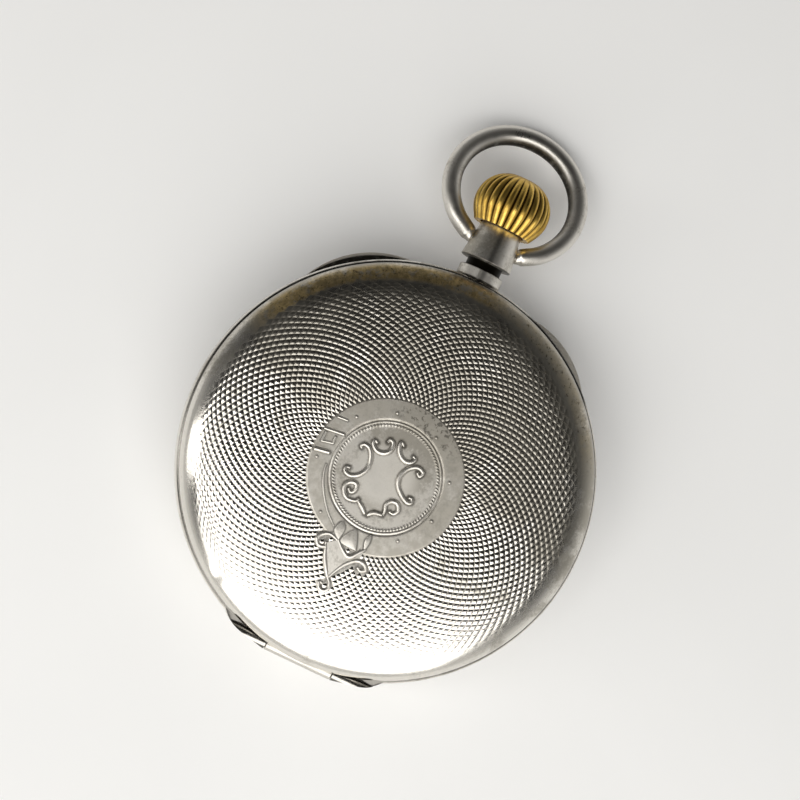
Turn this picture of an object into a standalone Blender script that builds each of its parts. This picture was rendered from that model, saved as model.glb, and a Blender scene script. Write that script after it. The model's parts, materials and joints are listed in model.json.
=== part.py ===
# Hunter pocket watch: a hinged silver case with front lid, back cover and cuvette, round a
# keyless lever movement with its pendant at three o'clock.
# Frame: +Z out of the dial, +X along the pendant, +Y to twelve o'clock. The origin is the middle
# of the flat that the watch rests on. All sizes below are millimetres.

import math

import bmesh
import bpy
from mathutils import Matrix, Vector

for leftover in list(bpy.data.objects):
    bpy.data.objects.remove(leftover, do_unlink=True)

MM = 0.001

# Clearances: between seated faces, in running holes, and round turning wheels
SEAT = 0.05
RUN = 0.05
AIR = 0.15

# Case band and covers
CASE_RADIUS = 25.0
BAND_HEIGHT = 4.6
BACK_DEPTH = 4.6
LID_RISE = 4.1
COVER_STEP = 0.4
COVER_RADIUS = CASE_RADIUS - COVER_STEP
COVER_WALL = 0.55
CASE_WALL = 4.5
REST_RADIUS = 7.5
SEAM = 0.1
CUT_PAST = 1.0
BAND_CHAMFER = 0.5
LID_FULLNESS = 2.8
BACK_FULLNESS = 2.6
LIP_ANGLE = 32.0
LIP_HALF_ANGLE = 16.0
BACK_LIP_REACH = 1.35
CUVETTE_LIP_REACH = 1.9
LIP_THICK = 0.5
LIP_BELOW_RIM = 0.01
LIP_GAP_MARGIN = 1.0

# Cover hinges
HINGE_INSET = 0.7
KNUCKLE_RADIUS = 0.75
KNUCKLE_HALF = 4.3
HINGE_HALF = 10.4
HINGE_PIN_RADIUS = 0.27
HINGE_PIN_HALF = 6.4
LUG_DEPTH = 1.7
LUG_BULGE = 0.55
LUG_SINK = 0.2
HINGE_ROOM = 0.25

# Cuvette
CUVETTE_LAP = 0.8
CUVETTE_WALL = 0.35
CUVETTE_DEPTH = 2.85
CUVETTE_FULLNESS = 4.0
CUVETTE_KNUCKLE = 0.42
CUVETTE_KNUCKLE_HALF = 1.5
CUVETTE_LUG_LENGTH = 2.2
CUVETTE_KNUCKLE_OUT = 0.15
CUVETTE_PIN_RADIUS = 0.16

# Bezel, crystal and the two case springs
BEZEL_INSET = 0.65
BEZEL_WIDTH = 2.8
BEZEL_SLOPE = 0.3
BEZEL_HEIGHT = 1.1
CRYSTAL_THICK = 0.5
CRYSTAL_RISE = 1.2
CRYSTAL_HOLD = 0.55
CRYSTAL_SHOULDER = 0.6
SPRING_CHANNEL_WALL = 0.9
SPRING_CHANNEL_WIDTH = 1.6
SPRING_CHANNEL_DEPTH = 1.0
SPRING_THICK = 0.6
SPRING_NOSE_HALF_ANGLE = 3.0
SPRING_NOSE_MARGIN = 1.0
SPRING_SPAN = 62.0
LIFT_ANGLE = 145.0

# Pendant, bow and crown
COLLAR_RADIUS = 2.75
COLLAR_LENGTH = 1.25
GROOVE_RADIUS = 2.2
GROOVE_LENGTH = 1.05
NECK_BASE_RADIUS = 3.2
NECK_TOP_RADIUS = 2.6
NECK_LENGTH = 4.6
PENDANT_BORE = 1.35
TENON_RADIUS = 1.1
TENON_LENGTH = 3.0
BOW_PIVOT_ABOVE_GROOVE = 2.15
BOW_RADIUS = 8.0
BOW_CENTRE_REACH = 7.6
BOW_WIRE_RADIUS = 1.2
BOW_END_RADIUS = 0.85
BOW_PIN_RADIUS = 0.5
BOW_FIRST_ANGLE = 27.0
BOW_PIN_INSIDE = 0.95
BOW_FLOOR_GAP = 0.06
CROWN_RADIUS = 4.65
CROWN_HEIGHT = 6.9
CROWN_SKIRT_RADIUS = 3.6
CROWN_WAIST = 0.4
CROWN_FULLNESS = 2.2
CROWN_MOUTH_GAP = 0.25
CROWN_SKIRT_LAP = 0.2
CROWN_RECESS = 1.15
CROWN_RIBS = 26
CROWN_RIB_DEPTH = 0.25
STEM_RADIUS = 0.6
STEM_SQUARE = 0.5
STEM_GROOVE = 0.3
STEM_IN_CROWN = 2.4
SLEEVE_WALL = 0.35
SLEEVE_LENGTH = 5.0
SLEEVE_GUIDE = 1.0

# Movement frame, drawn on a plate of the calibre's radius and following the real plate's size
PLATE_RADIUS = CASE_RADIUS - CASE_WALL - 2 * SEAT
CALIBRE_RADIUS = 20.4
CALIBRE = PLATE_RADIUS / CALIBRE_RADIUS
PLATE_THICK = 1.25
PLATE_RIM_WIDTH = 1.8
STEM_ABOVE_PLATE_EDGE = 0.4
TRAIN_SPACE = 2.05
BRIDGE_THICK = 1.0
LEDGE_WIDTH = 1.1
BRIDGE_RADIUS = PLATE_RADIUS - LEDGE_WIDTH
BRIDGE_SPLIT = 0.5
BALANCE_ROOM = 0.45
COCK_THICK = 0.75
FOOT_RADIUS = 1.3 * CALIBRE
SCREW_RADIUS = 0.32 * CALIBRE
SCREW_HEAD_RADIUS = 0.75 * CALIBRE
SCREW_HEAD_HEIGHT = 0.25
ARBOR_RADIUS = 0.3 * CALIBRE
PIVOT_RADIUS = 0.15 * CALIBRE
PIVOT_LENGTH = 0.5
BARREL_FOOT_PLACES = ((16.0, 6.2), (-4.6, 14.2), (16.4, -3.3))
TRAIN_FOOT_PLACES = ((9.5, -13.0), (-4.4, -16.9))
COCK_FOOT_PLACE = (-12.5, 8.0)
COCK_FOOT_RADIUS = 2.3 * CALIBRE
COCK_END_RADIUS = 1.9 * CALIBRE
PALLET_FOOT_REACH = 3.6 * CALIBRE
PALLET_COCK_THICK = 0.5
CASE_SCREW_ANGLES = (75.0, 285.0)
BRIDGE_CUT_ANGLE = 118.0
BRIDGE_PARTING = ((6.1, -4.8), (2.5, -2.5), (-2.6, -2.5))
BARREL_BRIDGE_SIDE = ((-4.6, 6.5), (-3.4, 1.0))
TRAIN_BRIDGE_SIDE = ((-4.2, -6.0), (-7.6, -12.2))
STEM_SLOT_INWARD = 2.0
SETTING_PIN_IN = 0.6
SETTING_PIN_OUT = 1.2

# Going train: teeth, modules and wheel thickness
BARREL_TEETH = 60
BARREL_MODULE = 0.264 * CALIBRE
CENTRE_PINION = 10
CENTRE_TEETH = 48
CENTRE_MODULE = 0.213 * CALIBRE
THIRD_PINION = 6
THIRD_TEETH = 45
THIRD_MODULE = 0.2 * CALIBRE
FOURTH_PINION = 6
FOURTH_TEETH = 60
FOURTH_MODULE = 0.14 * CALIBRE
ESCAPE_PINION = 6
ESCAPE_TEETH = 15
ESCAPE_RADIUS = 3.4 * CALIBRE
WHEEL_THICK = 0.22
WHEEL_RIM = 0.45 * CALIBRE
WHEEL_HUB = 1.0 * CALIBRE
WHEEL_ARM = 0.4 * CALIBRE
TIP_SHARE = 0.35
ROOT_SHARE = 1.4
CENTRE_POST = 0.38 * CALIBRE
BARREL_HEIGHT = 2.0
BARREL_WALL = 0.4
BARREL_RIM = 0.45
BARREL_SHAFT = 0.6 * CALIBRE
BARREL_CORE = 1.4 * CALIBRE
MAINSPRING_TURNS = 3
MAINSPRING_THICK = 0.3
THIRD_DIRECTION = 248.5
ESCAPE_DIRECTION = 200.0
BARREL_DIRECTION = 50.0

# Winding work, motion work and setting work
WINDING_MODULE = 0.28 * CALIBRE
RATCHET_TEETH = 36
CLICK_DIRECTION = 80.0
CLICK_DISTANCE = 6.9 * CALIBRE
CLICK_TIP_DIRECTION = 55.0
CLICK_SPRING_SPAN = (20.0, 200.0)
CROWN_WHEEL_TEETH = 24
WINDING_THICK = 0.45
CROWN_WHEEL_X = 10.46 * CALIBRE
WINDING_PINION_TEETH = 12
WINDING_PINION_RADIUS = 1.45
WINDING_PINION_LENGTH = 0.9 * CALIBRE
CLUTCH_RADIUS = 1.35
CLUTCH_WAIST = 0.97
CLUTCH_LENGTH = 1.3 * CALIBRE
STEM_BEYOND_CLUTCH = 0.3 * CALIBRE
CONTRATE_RADIUS = 3.0 * CALIBRE
CONTRATE_WALL = 0.6 * CALIBRE
CROWN_WHEEL_EYE = 1.2 * CALIBRE
CONTRATE_TOOTH = 0.3
STEM_GROOVE_LENGTH = 0.8 * CALIBRE
STEM_GROOVE_BEYOND = 1.6 * CALIBRE
MOTION_MODULE = 0.14 * CALIBRE
CANNON_TEETH = 10
MINUTE_WHEEL_TEETH = 30
MINUTE_PINION_TEETH = 8
HOUR_WHEEL_TEETH = 32
MOTION_DIRECTION = 118.0
SETTING_ARM = 3.9 * CALIBRE
SETTING_WIDTH = 1.3
SETTING_TIP_RADIUS = 0.54
SETTING_PIN_RADIUS = 0.24
CANNON_WALL = 0.25
HOUR_PIPE_WALL = 0.22

# Escapement and balance
PALLET_DISTANCE = 4.4 * CALIBRE
BALANCE_DISTANCE = 6.4 * CALIBRE
BALANCE_DIRECTION = 131.6
BALANCE_RADIUS = 6.4 * CALIBRE
BALANCE_RIM = 0.6
BALANCE_SCREWS = 12
BALANCE_SCREW_REACH = 0.4 * CALIBRE
BALANCE_HEIGHT = 0.5
ROLLER_RADIUS = 1.7 * CALIBRE
ROLLER_DROP = 1.0
HAIRSPRING_RADIUS = 3.0 * CALIBRE
HAIRSPRING_TURNS = 3
HAIRSPRING_THICK = 0.12
HAIRSPRING_HEIGHT = 0.2
STAFF_RADIUS = 0.36 * CALIBRE
FORK_SIDE = ((0.7, 0.3), (0.2, 1.5), (-0.6, 2.3), (-1.15, 2.25), (-1.1, 1.75), (-0.75, 0.6))
FORK_HORN = 0.5
FORK_STEM = 0.3
FORK_NOTCH = 0.12
FORK_NOTCH_SHARE = 0.9
FORK_HORN_SHARE = 0.8
REGULATOR_REACH = 4.4 * CALIBRE

# Dial and hands
DIAL_INSET = 0.2
DIAL_THICK = 0.45
HAND_THICK = 0.14
HAND_GAP = 0.2
HAND_HALF_WIDTH = 0.5
HAND_BOSS = 0.35
HAND_BLADE = ((0.62, -1.0), (1.0, -0.15), (1.0, 0.15), (0.62, 1.0))
HOUR_HAND_DIRECTION = 145.0
MINUTE_HAND_DIRECTION = 30.0
SECONDS_HAND_DIRECTION = -120.0
MINUTE_HAND_LENGTH = 16.0 * CALIBRE
HOUR_HAND_LENGTH = 10.6 * CALIBRE
SECONDS_HAND_LENGTH = 3.9 * CALIBRE

# Facets round each kind of turned piece
CASE_STEPS = 32
MOVEMENT_STEPS = 24
SMALL_STEPS = 10
PIVOT_STEPS = 6

# Radii that follow from the case and the plate
BEZEL_RADIUS = COVER_RADIUS - COVER_WALL - BEZEL_INSET
CUVETTE_RADIUS = PLATE_RADIUS + CUVETTE_LAP
SPRING_CHANNEL_INNER = PLATE_RADIUS + 2 * SEAT + SPRING_CHANNEL_WALL
DIAL_RADIUS = PLATE_RADIUS - DIAL_INSET

# Levels, from the back of the case to its front
BAND_BOTTOM = BACK_DEPTH + SEAM
BAND_TOP = BAND_BOTTOM + BAND_HEIGHT
LID_RIM = BAND_TOP + SEAM
STEM_LEVEL = BAND_BOTTOM + BAND_HEIGHT / 2
PLATE_BOTTOM = STEM_LEVEL - STEM_ABOVE_PLATE_EDGE
PLATE_TOP = PLATE_BOTTOM + PLATE_THICK
BRIDGE_TOP = PLATE_BOTTOM - TRAIN_SPACE
BRIDGE_BOTTOM = BRIDGE_TOP - BRIDGE_THICK
WINDING_TOP = BRIDGE_BOTTOM - SEAT
WINDING_BOTTOM = WINDING_TOP - WINDING_THICK
COCK_TOP = BRIDGE_BOTTOM - 2 * SEAT
COCK_BOTTOM = COCK_TOP - COCK_THICK
DIAL_TOP = BAND_TOP - SEAT
DIAL_BOTTOM = DIAL_TOP - DIAL_THICK
RIM_TOP = DIAL_BOTTOM - SEAT
SECONDS_LEVEL = DIAL_TOP + SEAT + RUN
HOUR_LEVEL = SECONDS_LEVEL + HAND_THICK + HAND_GAP / 2
MINUTE_LEVEL = HOUR_LEVEL + HAND_THICK + HAND_GAP

BALANCE_LEVEL = COCK_TOP + HAIRSPRING_HEIGHT + 2 * SEAT
PALLET_COCK_BOTTOM = BRIDGE_TOP + AIR
MOTION_LEVEL = PLATE_TOP + 2 * SEAT
HOUR_WHEEL_LEVEL = MOTION_LEVEL + WHEEL_THICK + AIR

# Levels of the wheels in the train space
CENTRE_LEVEL = BRIDGE_TOP + AIR
CONTRATE_TIP = STEM_LEVEL - WINDING_PINION_RADIUS - 2 * RUN
BARREL_BOTTOM = CONTRATE_TIP + 2 * RUN
FOURTH_LEVEL = CENTRE_LEVEL + WHEEL_THICK + 2 * AIR
ESCAPE_LEVEL = FOURTH_LEVEL + WHEEL_THICK + AIR + PIVOT_RADIUS
THIRD_LEVEL = PLATE_BOTTOM - AIR - WHEEL_THICK


def turned_away(direction, distance, start=(0.0, 0.0)):
    """Point at a distance from start, along a direction in degrees."""
    angle = math.radians(direction)
    return (start[0] + distance * math.cos(angle), start[1] + distance * math.sin(angle))


def mesh_distance(wheel_teeth, pinion_teeth, module):
    """Distance between the arbors of a wheel and the pinion that it drives."""
    return module * (wheel_teeth + pinion_teeth) / 2


def on_plate(places):
    """Places drawn on the calibre's plate, moved to the real plate."""
    return tuple((x * CALIBRE, y * CALIBRE) for x, y in places)


# Places of the arbors and of the bridges' feet
BARREL_FEET = on_plate(BARREL_FOOT_PLACES)
TRAIN_FEET = on_plate(TRAIN_FOOT_PLACES)
COCK_FOOT = on_plate((COCK_FOOT_PLACE,))[0]
CENTRE_PLACE = (0.0, 0.0)
BARREL_PLACE = turned_away(BARREL_DIRECTION, mesh_distance(BARREL_TEETH, CENTRE_PINION, BARREL_MODULE))
THIRD_PLACE = turned_away(THIRD_DIRECTION, mesh_distance(CENTRE_TEETH, THIRD_PINION, CENTRE_MODULE))
FOURTH_DISTANCE = mesh_distance(THIRD_TEETH, FOURTH_PINION, THIRD_MODULE)
FOURTH_PLACE = (0.0, THIRD_PLACE[1] - math.sqrt(FOURTH_DISTANCE ** 2 - THIRD_PLACE[0] ** 2))
ESCAPE_PLACE = turned_away(
    ESCAPE_DIRECTION, mesh_distance(FOURTH_TEETH, ESCAPE_PINION, FOURTH_MODULE), FOURTH_PLACE)
PALLET_PLACE = turned_away(BALANCE_DIRECTION, PALLET_DISTANCE, ESCAPE_PLACE)
BALANCE_PLACE = turned_away(BALANCE_DIRECTION, BALANCE_DISTANCE, PALLET_PLACE)
PALLET_FOOT = turned_away(BALANCE_DIRECTION + 90.0, PALLET_FOOT_REACH, PALLET_PLACE)
CLICK_PLACE = turned_away(CLICK_DIRECTION, CLICK_DISTANCE, BARREL_PLACE)
CASE_SCREW_RADIUS = BRIDGE_RADIUS + 4 * AIR - SCREW_RADIUS - 2 * SEAT
CASE_SCREWS = tuple(turned_away(angle, CASE_SCREW_RADIUS) for angle in CASE_SCREW_ANGLES)
CROWN_WHEEL_PLACE = (CROWN_WHEEL_X, 0.0)
MINUTE_WHEEL_PLACE = turned_away(
    MOTION_DIRECTION, mesh_distance(MINUTE_WHEEL_TEETH, CANNON_TEETH, MOTION_MODULE))

# Places along the pendant
COLLAR_START = CASE_RADIUS + SEAT
GROOVE_START = COLLAR_START + COLLAR_LENGTH
NECK_START = GROOVE_START + GROOVE_LENGTH
NECK_END = NECK_START + NECK_LENGTH
BOW_PIVOT_X = NECK_START + BOW_PIVOT_ABOVE_GROOVE
CROWN_START = NECK_END - CROWN_SKIRT_LAP
PINION_START = CROWN_WHEEL_X + CONTRATE_RADIUS - CONTRATE_WALL / 2 - WINDING_PINION_LENGTH / 2
CLUTCH_START = PINION_START - 2 * RUN - CLUTCH_LENGTH
GROOVE_BEGIN = PINION_START + WINDING_PINION_LENGTH + STEM_GROOVE_BEYOND
GROOVE_END = GROOVE_BEGIN + STEM_GROOVE_LENGTH
SETTING_PLACE = ((GROOVE_BEGIN + GROOVE_END) / 2, SETTING_ARM)
BOW_DROOP = math.asin((STEM_LEVEL - BOW_WIRE_RADIUS - BOW_FLOOR_GAP) / (BOW_CENTRE_REACH + BOW_RADIUS))
HINGE_X = -(CASE_RADIUS - HINGE_INSET)
FRONT_HINGE = (HINGE_X, 0.0, BAND_TOP + SEAM / 2)
BACK_HINGE = (HINGE_X, 0.0, BAND_BOTTOM - SEAM / 2)
CUVETTE_RIM = BAND_BOTTOM - SEAT
CUVETTE_HINGE = (-(CUVETTE_RADIUS + CUVETTE_KNUCKLE_OUT), 0.0, CUVETTE_RIM - CUVETTE_KNUCKLE)
CUVETTE_HINGE_HALF = CUVETTE_KNUCKLE_HALF + CUVETTE_LUG_LENGTH

# Colour, metallic value and roughness of each metal
FINISHES = {
    "silver": ((0.60, 0.59, 0.57), 1.0, 0.32),
    "gilt": ((0.80, 0.60, 0.28), 1.0, 0.35),
    "crown_gold": ((0.78, 0.55, 0.24), 1.0, 0.36),
    "steel": ((0.55, 0.56, 0.58), 1.0, 0.25),
    "blued": ((0.06, 0.09, 0.30), 1.0, 0.25),
    "enamel": ((0.92, 0.91, 0.87), 0.0, 0.18),
    "glass": ((0.90, 0.93, 0.94), 0.0, 0.04),
    "brass": ((0.72, 0.56, 0.26), 1.0, 0.38),
}


def finish(kind):
    """Material of one finish, made once."""
    found = bpy.data.materials.get(kind)
    if found:
        return found
    colour, metallic, roughness = FINISHES[kind]
    made = bpy.data.materials.new(kind)
    made.use_nodes = True
    shader = made.node_tree.nodes["Principled BSDF"]
    shader.inputs["Base Color"].default_value = (*colour, 1.0)
    shader.inputs["Metallic"].default_value = metallic
    shader.inputs["Roughness"].default_value = roughness
    return made


def placed(name, bm, kind, origin=(0.0, 0.0, 0.0)):
    """Object from a mesh drawn in millimetres in the watch's frame, with its origin on a joint axis."""
    bmesh.ops.recalc_face_normals(bm, faces=bm.faces)
    mesh = bpy.data.meshes.new(name)
    bm.to_mesh(mesh)
    bm.free()
    mesh.transform(Matrix.Scale(MM, 4) @ Matrix.Translation(-Vector(origin)))
    mesh.shade_smooth()
    mesh.set_sharp_from_angle(angle=math.radians(35.0))
    mesh.materials.append(finish(kind))
    made = bpy.data.objects.new(name, mesh)
    made.location = Vector(origin) * MM
    bpy.context.scene.collection.objects.link(made)
    return made


def as_tool(made):
    """Mark an object as a cutter or a joined-on piece, which is no part of its own."""
    made.hide_render = True
    made.display_type = "WIRE"
    return made


def combine(base, tool, operation):
    """Boolean of one tool on a piece."""
    as_tool(tool)
    step = base.modifiers.new(tool.name, "BOOLEAN")
    step.operation = operation
    step.solver = "EXACT"
    step.object = tool
    return base


def join(base, *tools):
    """Unite pieces that are one solid on the bench."""
    for tool in tools:
        combine(base, tool, "UNION")
    return base


def cut(base, *tools):
    """Take cutters out of a piece."""
    for tool in tools:
        combine(base, tool, "DIFFERENCE")
    return base


def spun(profile, steps, place=(0.0, 0.0), closed=True):
    """Mesh of a profile of (radius, level) points turned about an upright axis at place."""
    bm = bmesh.new()
    corners = [bm.verts.new((radius, 0.0, level)) for radius, level in profile]
    edges = [bm.edges.new(pair) for pair in zip(corners, corners[1:])]
    if closed:
        edges.append(bm.edges.new((corners[-1], corners[0])))
    bmesh.ops.spin(
        bm, geom=corners + edges, axis=(0.0, 0.0, 1.0), cent=(0.0, 0.0, 0.0),
        angle=math.tau, steps=steps, use_merge=True)
    bmesh.ops.remove_doubles(bm, verts=bm.verts, dist=0.0005)
    bmesh.ops.translate(bm, verts=bm.verts, vec=(place[0], place[1], 0.0))
    return bm


def laid_along(bm, direction, start):
    """Turn a mesh drawn about +Z so that its axis runs along X or Y from start."""
    turn = Vector((0.0, 0.0, 1.0)).rotation_difference(Vector(direction)).to_matrix().to_4x4()
    bmesh.ops.transform(bm, matrix=Matrix.Translation(start) @ turn, verts=bm.verts)
    return bm


def rod(radius, low, high, steps=SMALL_STEPS, place=(0.0, 0.0)):
    """Mesh of a plain upright cylinder."""
    return spun([(0.0, high), (radius, high), (radius, low), (0.0, low)], steps, place, closed=False)


def rod_along_y(radius, centre, low, high, steps=SMALL_STEPS):
    """Mesh of a cylinder along Y through centre, from low to high."""
    return laid_along(rod(radius, low, high, steps), (0.0, 1.0, 0.0), (centre[0], 0.0, centre[2]))


def rod_along_x(radius, low, high, steps=SMALL_STEPS):
    """Mesh of a cylinder on the stem's axis, from low to high."""
    return laid_along(rod(radius, low, high, steps), (1.0, 0.0, 0.0), (0.0, 0.0, STEM_LEVEL))


def block(low, high):
    """Mesh of a rectangular block between two corners."""
    bm = bmesh.new()
    size = [top - bottom for bottom, top in zip(low, high)]
    middle = [(top + bottom) / 2 for bottom, top in zip(low, high)]
    shape = Matrix.Translation(middle) @ Matrix.Diagonal((*size, 1.0))
    bmesh.ops.create_cube(bm, size=1.0, matrix=shape)
    return bm


def ring_points(radius, steps, place=(0.0, 0.0), start=0.0):
    """Corners of a regular polygon about place."""
    return [turned_away(start + 360.0 * step / steps, radius, place) for step in range(steps)]


def arc_points(radius, first, last, steps, place=(0.0, 0.0)):
    """Points along an arc from one angle in degrees to another."""
    return [turned_away(first + (last - first) * step / steps, radius, place) for step in range(steps + 1)]


def clear_of(radius, steps=PIVOT_STEPS):
    """Corner radius of a faceted hole whose flats stand clear of a rod of the given radius."""
    return (radius + RUN) / math.cos(math.pi / steps)


def sheet(outline, low, high, holes=()):
    """Mesh of a flat outline with holes, from one level to another."""
    bm = bmesh.new()
    edges = []
    for loop in (outline, *holes):
        corners = [bm.verts.new((x, y, low)) for x, y in loop]
        edges += [bm.edges.new(pair) for pair in zip(corners, corners[1:] + corners[:1])]
    filled = bmesh.ops.triangle_fill(bm, use_beauty=True, edges=edges, normal=(0.0, 0.0, 1.0))
    faces = [item for item in filled["geom"] if isinstance(item, bmesh.types.BMFace)]
    raised = bmesh.ops.extrude_face_region(bm, geom=faces)
    lifted = [item for item in raised["geom"] if isinstance(item, bmesh.types.BMVert)]
    bmesh.ops.translate(bm, verts=lifted, vec=(0.0, 0.0, high - low))
    return bm


def dome(radius, height, fullness, inner, steps):
    """(radius, level) points of a cover's curve, from its inner radius to its edge at height."""
    points = []
    first = math.asin((inner / radius) ** (fullness / 2))
    for step in range(steps + 1):
        angle = first + (math.pi / 2 - first) * step / steps
        reach = radius * math.sin(angle) ** (2 / fullness)
        points.append((reach, height * (1.0 - max(math.cos(angle), 0.0) ** (2 / fullness))))
    return points


def lip_outline(centre, inner, reach):
    """Crescent of a thumbnail lip about a direction, from an inner radius to its reach past the covers."""
    steps = 8
    crescent = []
    for step in range(steps + 1):
        share = 2.0 * step / steps - 1.0
        radius = COVER_RADIUS + reach * math.cos(share * math.pi / 2)
        crescent.append(turned_away(centre + share * LIP_HALF_ANGLE, radius))
    back = arc_points(inner, centre + LIP_HALF_ANGLE, centre - LIP_HALF_ANGLE, steps // 2)
    return crescent + back


def sector(first, last, inner, outer, steps=6):
    """Outline of a ring's sector between two angles in degrees."""
    return arc_points(outer, first, last, steps) + arc_points(inner, last, first, steps)


def give_hinge(cover, hinge, radius, half, outer_half, pin_radius, gap):
    """Cut a cover free of the band's outer knuckles, then add its own bored middle knuckle."""
    for side in (-1, 1):
        low, high = sorted((side * (half - RUN), side * (outer_half + AIR)))
        room = rod_along_y(radius + gap, hinge, low, high)
        cut(cover, placed(f"{cover.name}_room_{side}", room, "steel"))
    knuckle = placed(f"{cover.name}_knuckle", rod_along_y(radius, hinge, -half + RUN, half - RUN), "silver")
    join(cover, knuckle)
    bore = rod_along_y(pin_radius + RUN, hinge, -half, half, PIVOT_STEPS)
    return cut(cover, placed(f"{cover.name}_bore", bore, "steel"))


def hinge_pin(name, hinge, radius, half):
    """Steel pin of one hinge."""
    return placed(name, rod_along_y(radius, hinge, -half, half, PIVOT_STEPS), "steel", hinge)


def lug_outline(side, inner):
    """Leaf-like outline of an outer knuckle, level with the middle one and dying away into the band."""
    steps = 5
    first = math.degrees(math.asin(KNUCKLE_HALF / CASE_RADIUS))
    last = math.degrees(math.asin(HINGE_HALF / CASE_RADIUS))
    level = math.hypot(HINGE_X - KNUCKLE_RADIUS, KNUCKLE_HALF) - CASE_RADIUS
    leaf = []
    for step in range(steps + 1):
        share = step / steps
        proud = level * (1.0 - share) - LUG_SINK * share + LUG_BULGE * math.sin(share * math.pi)
        leaf.append(turned_away(180.0 - side * (first + (last - first) * share), CASE_RADIUS + proud))
    return leaf + arc_points(inner, 180.0 - side * last, 180.0 - side * first, 2)


def band_lug(name, hinge, side, up):
    """Outer knuckle of the band with its root, dressed to a leaf that follows the case."""
    low, high = sorted((side * (KNUCKLE_HALF + RUN), side * HINGE_HALF))
    tube = rod_along_y(KNUCKLE_RADIUS, hinge, low, high)
    seam = BAND_TOP - SEAT if up else BAND_BOTTOM + SEAT
    root = seam - LUG_DEPTH if up else seam + LUG_DEPTH
    inner = SPRING_CHANNEL_INNER + SPRING_CHANNEL_WIDTH + AIR
    leaf = block((hinge[0], low, min(seam, root)), (-inner + KNUCKLE_RADIUS, high, max(seam, root)))
    lug = placed(name, tube, "silver")
    join(lug, placed(f"{name}_root", leaf, "silver"))
    dress = sheet(lug_outline(side, inner), 0.0, LID_RIM + LID_RISE)
    return combine(lug, placed(f"{name}_dress", dress, "silver"), "INTERSECT")


def build_case_middle():
    """Band with its plate ledge, spring channel, pendant hole and the outer knuckles of three hinges."""
    bore = PLATE_RADIUS + 2 * SEAT
    ledge = BRIDGE_RADIUS + 4 * AIR
    edge = CASE_RADIUS - BAND_CHAMFER
    channel_outer = SPRING_CHANNEL_INNER + SPRING_CHANNEL_WIDTH
    floor = BAND_TOP - SPRING_CHANNEL_DEPTH
    profile = [
        (bore, BAND_TOP), (SPRING_CHANNEL_INNER, BAND_TOP), (SPRING_CHANNEL_INNER, floor),
        (channel_outer, floor), (channel_outer, BAND_TOP), (edge, BAND_TOP),
        (CASE_RADIUS, BAND_TOP - BAND_CHAMFER), (CASE_RADIUS, BAND_BOTTOM + BAND_CHAMFER),
        (edge, BAND_BOTTOM),
        (ledge, BAND_BOTTOM), (ledge, PLATE_BOTTOM - SEAT), (bore, PLATE_BOTTOM - SEAT)]
    band = placed("case_middle", spun(profile, CASE_STEPS), "silver")
    nose_room = COVER_RADIUS - COVER_WALL + SEAT
    hole = rod_along_x(TENON_RADIUS + 2 * SEAT, ledge - CUT_PAST, CASE_RADIUS + CUT_PAST)
    cut(band, placed("pendant_hole", hole, "silver"))
    half = SPRING_NOSE_HALF_ANGLE + SPRING_NOSE_MARGIN
    for label, angle in (("lock", 0.0), ("lift", LIFT_ANGLE)):
        notch = sector(angle - half, angle + half, channel_outer - AIR, nose_room)
        cut(band, placed(f"{label}_notch", sheet(notch, floor + SEAT, BAND_TOP + CUT_PAST), "silver"))
    for label, hinge, up in (("front", FRONT_HINGE, True), ("back", BACK_HINGE, False)):
        room = rod_along_y(KNUCKLE_RADIUS + AIR, hinge, -KNUCKLE_HALF, KNUCKLE_HALF)
        cut(band, placed(f"{label}_channel", room, "silver"))
        for side in (-1, 1):
            join(band, band_lug(f"{label}_lug_{side}", hinge, side, up))
        pin_hole = rod_along_y(HINGE_PIN_RADIUS + RUN, hinge, -HINGE_PIN_HALF - SEAT,
                               HINGE_PIN_HALF + SEAT, PIVOT_STEPS)
        cut(band, placed(f"{label}_pin_hole", pin_hole, "silver"))
    for side in (-1, 1):
        low, high = sorted((side * (CUVETTE_KNUCKLE_HALF + RUN), side * CUVETTE_HINGE_HALF))
        lug = placed(f"cuvette_lug_{side}", rod_along_y(CUVETTE_KNUCKLE, CUVETTE_HINGE, low, high), "silver")
        x, _, z = CUVETTE_HINGE
        stalk = block((x - CUVETTE_KNUCKLE, low, z), (x, high, BAND_BOTTOM + AIR))
        join(lug, placed(f"cuvette_stalk_{side}", stalk, "silver"))
        join(band, lug)
    bore_y = rod_along_y(CUVETTE_PIN_RADIUS + RUN, CUVETTE_HINGE, -HINGE_HALF, HINGE_HALF, PIVOT_STEPS)
    cut(band, placed("cuvette_bore", bore_y, "silver"))


def build_front_cover():
    """Domed lid over the crystal, hinged opposite the pendant."""
    top = LID_RIM + LID_RISE
    outer = [(r, top - z) for r, z in dome(COVER_RADIUS, LID_RISE, LID_FULLNESS, REST_RADIUS, 6)]
    inner_radius = COVER_RADIUS - COVER_WALL
    inner_rise = LID_RISE - COVER_WALL
    inner = dome(inner_radius, inner_rise, LID_FULLNESS, REST_RADIUS, 5)
    inner = [(r, top - COVER_WALL - z) for r, z in inner]
    profile = [(0.0, top)] + outer + inner[::-1] + [(0.0, top - COVER_WALL)]
    lid = placed("front_cover", spun(profile, CASE_STEPS, closed=False), "silver", FRONT_HINGE)
    give_hinge(lid, FRONT_HINGE, KNUCKLE_RADIUS, KNUCKLE_HALF, HINGE_HALF, HINGE_PIN_RADIUS, HINGE_ROOM)


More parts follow.
